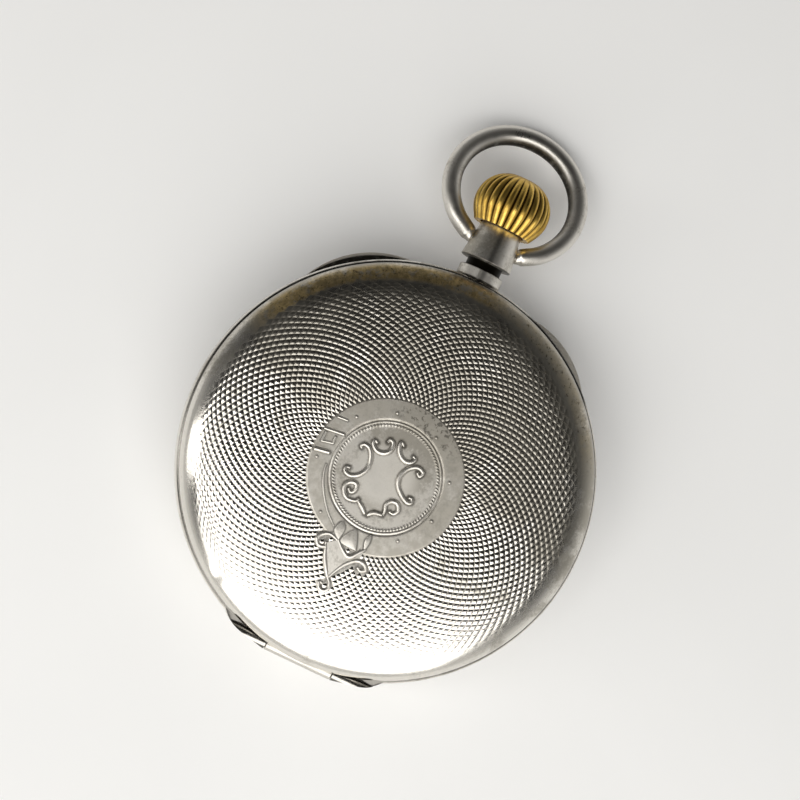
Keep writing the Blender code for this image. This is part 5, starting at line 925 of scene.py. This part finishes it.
def makeBand():
    c, o, d = caseSize, caseBand, dustCover
    r, low, high = c["bandRadius"], c["bandLow"], c["bandHigh"]
    channelInner, channelOuter = o["channelInner"], o["channelInner"] + o["channelWidth"]
    floor = high - o["channelDepth"]
    edge = [(r - o["chamfer"] * (1.0 - math.cos(a)), high - o["chamfer"] * (1.0 - math.sin(a)))
            for a in map(math.radians, o["chamferTurns"])]
    under = [(x, high + low - z) for x, z in reversed(edge)]
    profile = [(o["bore"], high), (channelInner, high), (channelInner, floor), (channelOuter, floor),
               (channelOuter, high), *edge, *under, (o["ledge"], low), (o["ledge"], o["ledgeLevel"]),
               (o["bore"], o["ledgeLevel"])]
    band = toObject("band", lathe(profile, o["steps"]))
    stem = (0.0, 0.0, c["stemLevel"])
    carve(band, rod(o["stemHole"], o["ledge"] - o["overcut"], r + o["overcut"], alongX, stem, 48))
    # room for the noses of the lock spring and the lift spring
    noseRoom = c["coverRadius"] - c["coverWall"] + c["run"]
    for angle in (0.0, o["liftAngle"]):
        notch = sectorOutline(angle, o["notchHalf"], channelOuter - o["notchSink"], noseRoom, 6)
        carve(band, plate(notch, floor + c["run"], high + o["overcut"]))
    for level, up in ((c["frontHingeZ"], True), (c["backHingeZ"], False)):
        room = c["knuckleRadius"] + c["air"]
        carve(band, crossRod(room, c["hingeX"], level, -c["knuckleHalf"], c["knuckleHalf"]))
        for side in (-1, 1):
            carve(band, makeLug(level, side, up), "UNION")
        carve(band, crossRod(c["pinHole"], c["hingeX"], level, -o["pinHalf"], o["pinHalf"], 24))
    x, z = d["hinge"]
    for near, far in hingeSpans(d["knuckleHalf"] + c["run"], d["hingeHalf"]):
        carve(band, crossRod(d["knuckle"], x, z, near, far, d["hingeSteps"]), "UNION")
        carve(band, box((x - d["knuckle"], near, z), (x, far, low + o["hingeRoot"])), "UNION")
    carve(band, crossRod(d["pin"], x, z, -c["hingeHalf"], c["hingeHalf"], 16))
    fitted(band, "case", ["case_middle"], "band")


def lugOutline(side, inner):
    # leaf-like outline of an outer knuckle, dying away into the band
    c, o = caseSize, caseBand
    r = c["bandRadius"]
    first, last = [math.degrees(math.asin(half / r)) for half in (c["knuckleHalf"], c["hingeHalf"])]
    level = math.hypot(c["hingeX"] - c["knuckleRadius"], c["knuckleHalf"]) - r
    leaf = []
    for k in range(o["lugSteps"] + 1):
        share = k / o["lugSteps"]
        bulge = o["lugBulge"] * math.sin(share ** o["lugBelly"] * math.pi)
        proud = level * (1.0 - share) - o["lugSink"] * share + bulge
        leaf.append(turned(180.0 - side * (first + (last - first) * share), r + proud))
    for k in range(o["rootSteps"] + 1):
        leaf.append(turned(180.0 - side * (last + (first - last) * k / o["rootSteps"]), inner))
    return leaf


def makeLug(level, side, up):
    # outer knuckle with its root, dressed to the leaf
    c, o = caseSize, caseBand
    low, high = sorted((side * (c["knuckleHalf"] + c["run"]), side * c["hingeHalf"]))
    lug = toObject("lug", crossRod(c["knuckleRadius"], c["hingeX"], level, low, high))
    seam = c["bandHigh"] - c["run"] if up else c["bandLow"] + c["run"]
    root = seam - o["lugDepth"] if up else seam + o["lugDepth"]
    inner = o["channelInner"] + o["channelWidth"] + c["air"]
    near, far = c["hingeX"] + o["lugRoot"], -inner + c["knuckleRadius"]
    carve(lug, box((near, low, min(seam, root)), (far, high, max(seam, root))), "UNION")
    carve(lug, plate(lugOutline(side, inner), 0.0, c["lidRim"] + c["lidRise"]), "INTERSECT")
    bm = bmesh.new()
    bm.from_mesh(lug.data)
    bmesh.ops.scale(bm, vec=(1.0 / mm,) * 3, verts=bm.verts[:])
    bpy.data.objects.remove(lug)
    return bm


makeLid()
makeGrains()
makeBack()
makeDustCover()
makeBand()
print("case covers and band made")


# pendant, bow and crown

pendantShape = {
    "collarStart": 25.05, "collarRadius": 2.75, "grooveStart": 26.3, "grooveRadius": 2.2, "neckStart": 27.35,
    "neckEnd": 31.95, "neckBase": 3.2, "neckTop": 2.6, "bore": 1.35, "boreStart": 0.32, "tenon": 1.1,
    "tenonLength": 3.0, "passage": 0.75, "steps": 96, "bowHole": 0.55, "pivot": 29.5, "overcut": 1.0,
    "edge": 0.09, "fillet": (0.06, 0.08), "rim": 0.25, "rimEdge": (0.08, 0.06), "baseLine": (0.03, 0.22),
    "seamWidth": 0.22, "seamDepth": 0.09, "seamStart": 0.25, "seamPast": 0.2, "notch": (0.35, 0.62),
    "notchDepth": 0.30, "notchPast": 0.1, "cutTop": 4.0,
}


def neckRadius(x):
    p = pendantShape
    share = (x - p["neckStart"]) / (p["neckEnd"] - p["neckStart"])
    return p["neckBase"] + (p["neckTop"] - p["neckBase"]) * share


def makePendant():
    p, level = pendantShape, caseSize["stemLevel"]
    start, groove, neck, end = p["collarStart"], p["grooveStart"], p["neckStart"], p["neckEnd"]
    collar, waist, base, top = p["collarRadius"], p["grooveRadius"], p["neckBase"], p["neckTop"]
    bore, rim = p["bore"], p["rim"]
    s, tip, seat = p["edge"], start - p["tenonLength"], start + p["boreStart"]
    wide, long = p["fillet"]
    profile = [
        (bore, end - s), (bore + s, end), (top - rim, end), (top - p["rimEdge"][0], end - p["rimEdge"][1]),
        (top, end - rim), (base - p["baseLine"][0], neck + p["baseLine"][1]), (base, neck + s),
        (base - s, neck), (waist + wide, neck), (waist, neck - long), (waist, groove + long),
        (waist + wide, groove), (collar - s, groove), (collar, groove - s), (collar, start + s),
        (collar - s, start),
        (p["tenon"], start), (p["tenon"], tip), (p["passage"], tip), (p["passage"], seat), (bore, seat)]
    pendant = toObject("pendantNeck", laidOver(lathe(profile, p["steps"]), alongX, (0.0, 0.0, level)))
    for low, high in hingeSpans(neckRadius(p["pivot"]) - p["overcut"], base + p["overcut"]):
        carve(pendant, crossRod(p["bowHole"], p["pivot"], level, low, high, 32))
    half, above = p["seamWidth"] / 2, level + p["cutTop"]
    seam = box((neck + p["seamStart"], -half, level), (end + p["seamPast"], half, above))
    for v in seam.verts:  # the soldered seam follows the taper of the neck
        if v.co.z < above - p["overcut"]:
            v.co.z = level + neckRadius(v.co.x) - p["seamDepth"]
    carve(pendant, seam)
    (first, last), past = p["notch"], p["notchPast"]
    carve(pendant, box((start - past, first, level + collar - p["notchDepth"]), (groove + past, last, above)))
    fitted(pendant, "case", ["pendant"], "pendant")


bowShape = {
    "radius": 8.0, "reach": 7.6, "wire": 1.27, "end": 0.95, "pin": 0.5, "foot": 0.72, "pinInside": 0.95,
    "pinEdge": (0.1, 0.08), "pinSeat": 0.03, "play": 0.05, "floorGap": 0.06, "firstAngle": 27.0, "sides": 24,
    "steps": 10, "smooth": 6, "dirtAndShadeFrom": 0.52, "dirtAndShadeFull": 0.95,
}


def makeBow():
    o = bowShape
    pivotX, level = pendantShape["pivot"], caseSize["stemLevel"]
    surface = neckRadius(pivotX) + o["play"]
    first, steps = math.radians(o["firstAngle"]), o["steps"]
    half = []
    for k in range(steps):
        a = first + (math.pi - first) * k / steps
        swell = o["end"] + (o["wire"] - o["end"]) * math.sqrt((k + 1) / (steps + 1))
        half.append((o["reach"] - o["radius"] * math.cos(a), o["radius"] * math.sin(a), swell))
    start, side = half[0][:2]
    half.insert(0, (start / 3, surface + (side - surface) / 3, (o["foot"] + o["end"]) / 2))
    half.insert(0, (0.0, surface, o["foot"]))
    ring = half + [(o["reach"] + o["radius"], 0.0, o["wire"])] + [(r, -s, w) for r, s, w in reversed(half)]
    inside = surface - o["pinInside"]
    pins = [(0.0, inside, o["pin"] - o["pinEdge"][0]), (0.0, inside + o["pinEdge"][1], o["pin"]),
            (0.0, surface - o["pinSeat"], o["pin"])]
    path = pins + throughPoints(ring, o["smooth"]) + [(r, -s, w) for r, s, w in reversed(pins)]
    bm = swept([(r, s, 0.0) for r, s, w in path], [w for r, s, w in path], o["sides"])
    dirtAndShade = bm.verts.layers.float.new("recess")  # old dirt and painted shade on the inside of the ring
    for v in bm.verts:
        inward = (o["radius"] - math.hypot(v.co.x - o["reach"], v.co.y)) / o["wire"]
        v[dirtAndShade] = smoothStep(o["dirtAndShadeFrom"], o["dirtAndShadeFull"], inward)
    droop = math.asin((level - o["wire"] - o["floorGap"]) / (o["reach"] + o["radius"]))
    place = Matrix.Translation((pivotX, 0.0, level)) @ Matrix.Rotation(droop, 4, "Y")
    bmesh.ops.transform(bm, matrix=place, verts=bm.verts)
    fitted(toObject("bowWire", bm), "bow_ring", ["bow"], "bow", 50.0)


crownShape = {
    "start": 31.75, "height": 6.9, "radius": 4.65, "skirt": 3.6, "mouth": 2.85, "mouthEdge": 0.06,
    "waist": 0.4, "fullness": 2.2, "recess": 1.15, "stemHole": 0.65, "stemDepth": 2.4, "ribs": 26,
    "ribDepth": 0.42, "ribRound": 0.75, "ribEnd": 4.5, "dirtAndShadeEnd": 5.0, "columnsPerRib": 8, "rows": 32,
    "rowCrowd": 0.9, "lastRow": 0.985,
}


def crownRadius(share):
    o = crownShape
    if share < o["waist"]:
        return o["skirt"] + (o["radius"] - o["skirt"]) * math.sin(share / o["waist"] * math.pi / 2)
    above = (share - o["waist"]) / (1.0 - o["waist"])
    return o["radius"] * max(1.0 - above ** o["fullness"], 0.0) ** (1 / o["fullness"])


def makeCrown():
    o = crownShape
    columns = o["ribs"] * o["columnsPerRib"]
    bm = bmesh.new()
    layer = bm.verts.layers.float.new("recess")
    mouth, depth, hole = o["mouth"], o["recess"], o["stemHole"]
    end = depth + o["stemDepth"]
    inside = [(hole, end), (hole, depth), (mouth, depth), (mouth, o["mouthEdge"])]
    rings = [[bm.verts.new((*p, z)) for p in circle(r, columns)] for r, z in inside]
    for row in range(o["rows"]):
        share = (row / o["rows"]) ** o["rowCrowd"] * o["lastRow"]
        depth = o["ribDepth"] * min(1.0, (1.0 - share) * o["ribEnd"]) * crownRadius(share) / o["radius"]
        ring = []
        for k in range(columns):
            groove = 1.0 - abs(math.cos(math.pi * o["ribs"] * k / columns)) ** o["ribRound"]
            radius = crownRadius(share) - depth * groove
            v = bm.verts.new((*turned(360.0 * k / columns, radius), share * o["height"]))
            # dirt and painted shade in the grooves, fading towards the top
            v[layer] = groove * min(1.0, (1.0 - share) * o["dirtAndShadeEnd"])
            ring.append(v)
        rings.append(ring)
    joinRings(bm, rings)
    capRing(bm, rings[-1], bm.verts.new((0.0, 0.0, o["height"])))
    capRing(bm, rings[0], bm.verts.new((0.0, 0.0, end)))
    laidOver(bm, alongX, (o["start"], 0.0, caseSize["stemLevel"]))
    fitted(toObject("crownFluted", bm), "crown_and_stem", ["crown"], "crown", 50.0)


makePendant()
makeBow()
makeCrown()
print("pendant, bow and crown made")


# glass, dial and hands under the lid

glassShape = {
    "bezelRadius": 23.4, "bezelLow": 9.35, "bezelHeight": 1.1, "bezelRim": 0.3, "slopeSteps": 8,
    "mouth": 20.6, "hold": 0.55, "play": 0.05, "rise": 1.2, "arc": 1.2, "arcSteps": 20, "thick": 0.5,
    "thinFrom": 15.0, "thinShare": 0.55, "steps": 160,
}


def makeBezelAndGlass():
    o = glassShape
    mouth, height, play = o["mouth"], o["bezelHeight"], o["play"]
    low, top = o["bezelLow"], o["bezelLow"] + height
    groove = mouth + o["hold"]
    middle, lip = low + height / 2, top - height / 5
    shelf = middle - height / 5
    flat, edge = groove + o["hold"], o["bezelRadius"] - o["bezelRim"]
    slope = []
    for k in range(o["slopeSteps"] + 1):
        t = math.pi / 2 * k / o["slopeSteps"]
        slope.append((flat + (edge - flat) * math.sin(t), top + (middle - top) * (1 - math.cos(t))))
    bezel = [(mouth, top - play), (mouth + play, top), *slope, (o["bezelRadius"], low), (mouth, low),
             (mouth, shelf), (groove, shelf), (groove, lip), (mouth, lip)]
    fitted(toObject("bezelRing", lathe(bezel, o["steps"])), "case", ["bezel"], "inside")
    # the glass is sprung into the groove, thinner towards its edge
    edge, clear, brim, seat = groove - play, mouth - play, lip - play, shelf + play
    sine, least = math.sin(o["arc"]), math.cos(o["arc"])
    outer = []
    for k in range(o["arcSteps"] + 1):
        a = o["arc"] * k / o["arcSteps"]
        outer.append((clear * math.sin(a) / sine, brim + o["rise"] * (math.cos(a) - least) / (1 - least)))
    under = []
    for r, z in reversed(outer):
        thick = o["thick"] * (o["thinShare"] if r > o["thinFrom"] else 1.0)
        under.append((r * (clear - o["thick"]) / clear, z - thick))
    glass = lathe([*outer, (edge, brim), (edge, seat), (clear, seat), *under], o["steps"], closed=False)
    fitted(toObject("crystalDome", glass), "case", ["crystal"], "glass", 60.0)


dialMiddle = (0.0, 0.0)
smallSeconds = (0.0, -9.994902)
dialShape = {
    "radius": 20.2, "low": 8.8, "high": 9.25, "hole": 1.2, "secondsHole": 0.3, "steps": 192,
    "holeSteps": (32, 16),
    "numerals": ("XII", "I", "II", "III", "IIII", "V", "", "VII", "VIII", "IX", "X", "XI"),
    "numeralOuter": 17.2, "numeralHeight": 3.7, "numeralWidth": 0.55,
    "letters": {"I": 0.34, "V": 0.78, "X": 0.80},  # widths
    # ticks as (middle, outer end, inner end and width of a fine one, then of each fifth one)
    # circles as (middle, radius, width)
    "ticks": [(dialMiddle, 18.95, (18.3, 0.10), (18.15, 0.26)),
              (smallSeconds, 4.6, (4.15, 0.07), (3.85, 0.12))],
    "circles": [(dialMiddle, 19.0, 0.07), (dialMiddle, 18.25, 0.07), (smallSeconds, 4.65, 0.06)],
    "inkGap": 0.004, "inkLift": 0.012, "circleLift": 0.001,
}


def strokes(letter):
    # one numeral letter as straight strokes of (start, end, width) in a unit box, serifs included
    wide, thin, serif, reach = 0.17, 0.07, 0.06, 0.16
    parts = {
        "I": [((0.0, 0.0), (0.0, 1.0), wide)],
        "V": [((-0.30, 1.0), (0.0, 0.0), wide), ((0.30, 1.0), (0.02, 0.0), thin)],
        "X": [((-0.32, 1.0), (0.32, 0.0), wide), ((0.32, 1.0), (-0.32, 0.0), thin)],
    }[letter]
    feet = {"I": [(0.0, 0.0), (0.0, 1.0)], "V": [(-0.30, 1.0), (0.30, 1.0)],
            "X": [(-0.32, 0.0), (0.32, 0.0), (-0.32, 1.0), (0.32, 1.0)]}[letter]
    return parts + [((x - reach, y), (x + reach, y), serif) for x, y in feet]


def inkStroke(bm, a, b, width, level):
    a, b = Vector(a), Vector(b)
    side = Vector((-(b - a).y, (b - a).x)).normalized() * width / 2
    flat = [bm.verts.new((*p, level)) for p in (a - side, b - side, b + side, a + side)]
    lifted = [bm.verts.new((v.co.x, v.co.y, level + dialShape["inkLift"])) for v in flat]
    bm.faces.new(lifted)
    bm.faces.new(flat[::-1])
    joinRings(bm, (flat, lifted))


def makeDial():
    o = dialShape
    hole = circle(o["hole"], o["holeSteps"][0])
    small = circle(o["secondsHole"], o["holeSteps"][1], smallSeconds)
    dial = toObject("dialPlate", plate(circle(o["radius"], o["steps"]), o["low"], o["high"], [hole, small]))
    fitted(dial, "case", ["dial"], "enamel")
    ink = bmesh.new()
    level, tall = o["high"] + o["inkGap"], o["numeralHeight"]
    wide = tall * o["numeralWidth"]
    for hour, numeral in enumerate(o["numerals"]):
        angle = math.radians(90.0 - 30.0 * hour)
        out = Vector((math.cos(angle), math.sin(angle)))
        across = Vector((math.sin(angle), -math.cos(angle)))
        at = -sum(o["letters"][letter] for letter in numeral) / 2
        for letter in numeral:
            middle = at + o["letters"][letter] / 2
            at += o["letters"][letter]
            for a, b, width in strokes(letter):
                ends = [out * (o["numeralOuter"] - tall * (1.0 - y)) + across * (middle + x) * wide
                        for x, y in (a, b)]
                inkStroke(ink, *ends, width * wide, level)
    for k in range(60):
        here, there = 6.0 * k, 6.0 * k + 6.0
        for middle, outer, fine, heavy in o["ticks"]:
            inner, width = fine if k % 5 else heavy
            inkStroke(ink, turned(here, inner, middle), turned(here, outer, middle), width, level)
        for middle, radius, width in o["circles"]:
            ends = [turned(angle, radius, middle) for angle in (here, there)]
            inkStroke(ink, *ends, width, level + o["circleLift"])
    fitted(toObject("dialMarks", ink), "case", [], "ink", 20.0)


handShape = {
    "hour": {"node": "hour_hand", "body": "hours", "centre": dialMiddle, "angle": 145.0, "length": 10.6,
             "boss": 1.15, "hole": 0.85, "spade": 1.25, "shaft": 0.34},
    "minute": {"node": "minute_hand", "body": "minutes", "centre": dialMiddle, "angle": 30.0, "length": 16.0,
               "boss": 0.95, "hole": 0.66, "spade": 0.85, "shaft": 0.30},
    "seconds": {"node": "seconds_hand", "body": "seconds", "centre": smallSeconds, "angle": -120.0,
                "length": 3.9, "boss": 0.48, "hole": 0.22, "spade": 0.0, "shaft": 0.12},
}


def makeHand(name):
    o = handShape[name]
    low, high = [corner.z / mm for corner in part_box(o["node"])]
    centre, shaft, spade, steps = o["centre"], o["shaft"], o["spade"], 24
    # share of the length and half the width there
    side = [(0.5, shaft * 0.8), (1.0, 0.05)]
    if spade:
        side = [(0.58, shaft * 0.9), (0.60, spade * 0.55), (0.64, spade * 0.98), (0.69, spade),
                (0.74, spade * 0.75), (0.79, spade * 0.42), (0.86, 0.24), (0.93, 0.15), (1.0, 0.05)]
    first = math.degrees(math.asin(shaft / o["boss"]))
    sweep = 360.0 - 2 * first
    outline = [turned(o["angle"] + first + sweep * k / steps, o["boss"], centre) for k in range(steps + 1)]
    turn = math.radians(o["angle"])
    for share, across in [(s, -w) for s, w in side] + side[::-1]:
        reach = o["length"] * share
        outline.append((centre[0] + reach * math.cos(turn) - across * math.sin(turn),
                        centre[1] + reach * math.sin(turn) + across * math.cos(turn)))
    piece = toObject(name + "Hand", plate(outline, low, high, [circle(o["hole"], steps, centre)]))
    softEdges(piece)
    fitted(piece, o["body"], [o["node"]], "blued")


makeBezelAndGlass()
makeDial()
for handName in handShape:
    makeHand(handName)
print("glass, dial and hands made")


def rib(bm, points, radius, lift, taper=True):
    # rounded bar along a line of the ornament, thinner at its ends if it tapers
    o = cartouche
    line = throughPoints(points, o["smooth"] if len(points) > 2 else o["barRings"])
    radii = [radius] * len(line)
    if taper:
        end, tip = o["ribEnd"], o["ribTip"]
        shares = [min(max(k / (len(line) - 1), tip), 1.0 - tip) for k in range(len(line))]
        radii = [radius * (end + (1.0 - end) * math.sin(math.pi * share)) for share in shares]
    part = swept([onLid(p, lift) for p in line], radii, o["sides"], o["ribFlat"])
    mesh = bpy.data.meshes.new("rib")
    part.to_mesh(mesh)
    part.free()
    bm.from_mesh(mesh)
    bpy.data.meshes.remove(mesh)


def raisedPlate(bm, outline, edgeLift, middleLift):
    # flat or domed plate on the lid, closed underneath
    centre = [sum(p[k] for p in outline) / len(outline) for k in (0, 1)]
    top = [bm.verts.new(onLid(p, edgeLift)) for p in outline]
    low = [bm.verts.new(onLid(p, -cartouche["plateRoot"])) for p in outline]
    bm.faces.new(low[::-1])
    joinRings(bm, (low, top))
    capRing(bm, top, bm.verts.new(onLid(centre, middleLift)))


def makeCartouche():
    o, onStrap = cartouche, lidOrnament["strapLift"]
    scrolls, strap, tail, leaves = [bmesh.new() for k in range(4)]
    for points in o["scrolls"]:
        rib(scrolls, points, o["ribRadius"], o["scrollLift"] - lidOrnament["fieldDrop"])
    for points in o["strapLines"]:
        rib(strap, points, o["strapLine"], onStrap)
    for a, b, radius in o["buckle"]:
        rib(strap, (a, b), radius, onStrap, False)
    for spot in o["dots"]:
        made = bmesh.ops.create_uvsphere(strap, u_segments=14, v_segments=8, radius=o["dotRadius"])
        bmesh.ops.translate(strap, verts=made["verts"], vec=onLid(spot, onStrap + o["dotLift"]))
    for points in o["tail"]:
        rib(tail, points, o["ribRadius"], o["tailLift"])
    for points in o["leaves"]:
        outline = throughPoints([*points, points[0]], o["leafSmooth"])[:-1]
        raisedPlate(leaves, outline, o["plateLift"], o["leafLift"])
    raisedPlate(leaves, o["tailPlate"], o["plateLift"], o["plateLift"])
    for name, bm in (("shieldScrolls", scrolls), ("strapBuckle", strap), ("strapTail", tail)):
        fitted(toObject(name, bm), "front_lid", [], "chased", 60.0)
    fitted(toObject("strapLeaves", leaves), "front_lid", [], "tail", 25.0)


makeCartouche()
print("cartouche made")


# finishes of the pieces that stay as the solids have them

nodeFinish = {"silver": "inside", "crown_gold": "crown"}  # the finish of any other slot has the slot's name
slotOf = {part["node"]: part["material_slot"] for part in frame["record"]["subparts"]}
for nodeName, node in frame["nodes"].items():
    if not node.hide_render:
        nodeSlot = slotOf[nodeName]
        node.data.materials.clear()
        node.data.materials.append(finishes[nodeFinish.get(nodeSlot, nodeSlot)])
print("movement finished")


# floor, light and camera, in metres but for the pixel and the focus level in millimetres

stageLook = {
    "floor": (0.86, 0.86, 0.855), "floorShade": 0.97, "floorGlow": 0.135, "floorSize": 1.2,
    # lamps as (right, up, height, size, power), right and up along the photo's own axes
    "windowLamp": (-0.10, -0.33, 0.42, (0.80, 0.60), 3.5), "sideLamp": (-0.42, 0.05, 0.42, (0.12, 0.50), 0.7),
    "lampTint": (1.0, 0.985, 0.955), "lampTarget": (0.0, 0.0, 0.008),
    # room as (from, to, light there, light there), first by height and then along the photo's up
    "roomTint": (1.0, 0.99, 0.96, 1.0), "roomHeight": (0.05, 0.80, 0.70, 0.02),
    "roomDepth": (-0.2, 0.8, 1.0, 0.35),
    "picture": 800.0, "pixel": 0.1176, "caseInPicture": (388.5, 471.5), "focusLevel": 9.6, "tilt": 6.8,
    "cameraLens": 120.0, "sensor": 36.0, "nearest": 0.01,
}


def makeFloor():
    o = stageLook
    s = NodeSheet("paleFloor")
    cloud = s.noise(60.0, 4.0, 0.55, warp=0.6)
    colour = s.mix(s.ramp(cloud, 0.35, 0.7), o["floor"], tuple(v * o["floorShade"] for v in o["floor"]))
    rays = s.add("LightPath").outputs
    seen = s.plus(rays["Is Camera Ray"], rays["Is Glossy Ray"])
    seen = s.math("ADD", seen, rays["Is Transmission Ray"], True)
    s.set(Base_Color=colour, Roughness=s.ramp(cloud, 0.3, 0.7, 0.42, 0.5), Emission_Color=(*o["floor"], 1.0),
          Emission_Strength=s.times(seen, o["floorGlow"]))
    half = o["floorSize"] / 2
    corners = [(-half, -half, 0.0), (half, -half, 0.0), (half, half, 0.0), (-half, half, 0.0)]
    mesh = bpy.data.meshes.new("floor")
    mesh.from_pydata(corners, [], [(0, 1, 2, 3)])
    mesh.materials.append(s.material)
    floor = bpy.data.objects.new("floor", mesh)
    bpy.context.scene.collection.objects.link(floor)


def softLamp(name):
    side, up, height, size, power = stageLook[name]
    lamp = bpy.data.lights.new(name, "AREA")
    lamp.shape = "RECTANGLE"
    lamp.size, lamp.size_y = size
    lamp.energy = power
    lamp.color = stageLook["lampTint"]
    flat = imageRight * side + imageUp * up
    made = bpy.data.objects.new(name, lamp)
    made.location = (flat.x, flat.y, height)
    aim = Vector(stageLook["lampTarget"]) - made.location
    made.rotation_euler = aim.to_track_quat("-Z", "Y").to_euler()
    bpy.context.scene.collection.objects.link(made)


def makeRoom():
    # a room that is darker overhead than at its walls, and darker on the side away from the window
    o = stageLook
    world = bpy.data.worlds.new("room")
    bpy.context.scene.world = world
    world.use_nodes = True
    nodes, links = world.node_tree.nodes, world.node_tree.links
    nodes.clear()
    back = nodes.new("ShaderNodeBackground")
    back.inputs["Color"].default_value = o["roomTint"]
    links.new(back.outputs[0], nodes.new("ShaderNodeOutputWorld").inputs[0])
    ways = nodes.new("ShaderNodeTexCoord").outputs["Generated"]
    both = nodes.new("ShaderNodeMath")
    both.operation = "MULTIPLY"
    links.new(both.outputs[0], back.inputs["Strength"])
    axes = (((0.0, 0.0, 1.0), o["roomHeight"]), ((imageUp.x, imageUp.y, 0.0), o["roomDepth"]))
    for (axis, reach), share in zip(axes, both.inputs):
        dot = nodes.new("ShaderNodeVectorMath")
        dot.operation = "DOT_PRODUCT"
        dot.inputs[1].default_value = axis
        links.new(ways, dot.inputs[0])
        fall = nodes.new("ShaderNodeMapRange")
        fall.interpolation_type = "SMOOTHSTEP"
        for socket, value in zip(("From Min", "From Max", "To Min", "To Max"), reach):
            fall.inputs[socket].default_value = value
        links.new(dot.outputs["Value"], fall.inputs["Value"])
        links.new(fall.outputs["Result"], share)


def makeCamera():
    o = stageLook
    right = Vector((imageRight.x, imageRight.y, 0.0))
    up = Vector((imageUp.x, imageUp.y, 0.0))
    pixel, half = o["pixel"] * mm, o["picture"] / 2
    offX = (o["caseInPicture"][0] - half) * pixel
    offY = (half - o["caseInPicture"][1]) * pixel
    target = Vector((0.0, 0.0, o["focusLevel"] * mm)) - right * offX - up * offY
    lens = bpy.data.cameras.new("photoCamera")
    lens.lens = o["cameraLens"]
    lens.sensor_width = o["sensor"]
    lens.clip_start = o["nearest"]
    distance = o["picture"] * pixel * lens.lens / lens.sensor_width
    tilt = math.radians(o["tilt"])
    back = Vector((0.0, 0.0, math.cos(tilt))) - right * math.sin(tilt)
    turn = Matrix((up.cross(back), up, back)).transposed().to_4x4()
    camera = bpy.data.objects.new("photoCamera", lens)
    camera.matrix_world = Matrix.Translation(target + back * distance) @ turn
    bpy.context.scene.collection.objects.link(camera)
    bpy.context.scene.camera = camera


makeFloor()
softLamp("windowLamp")
softLamp("sideLamp")
makeRoom()
makeCamera()
bpy.context.scene.view_settings.view_transform = "Standard"
print("stage made")
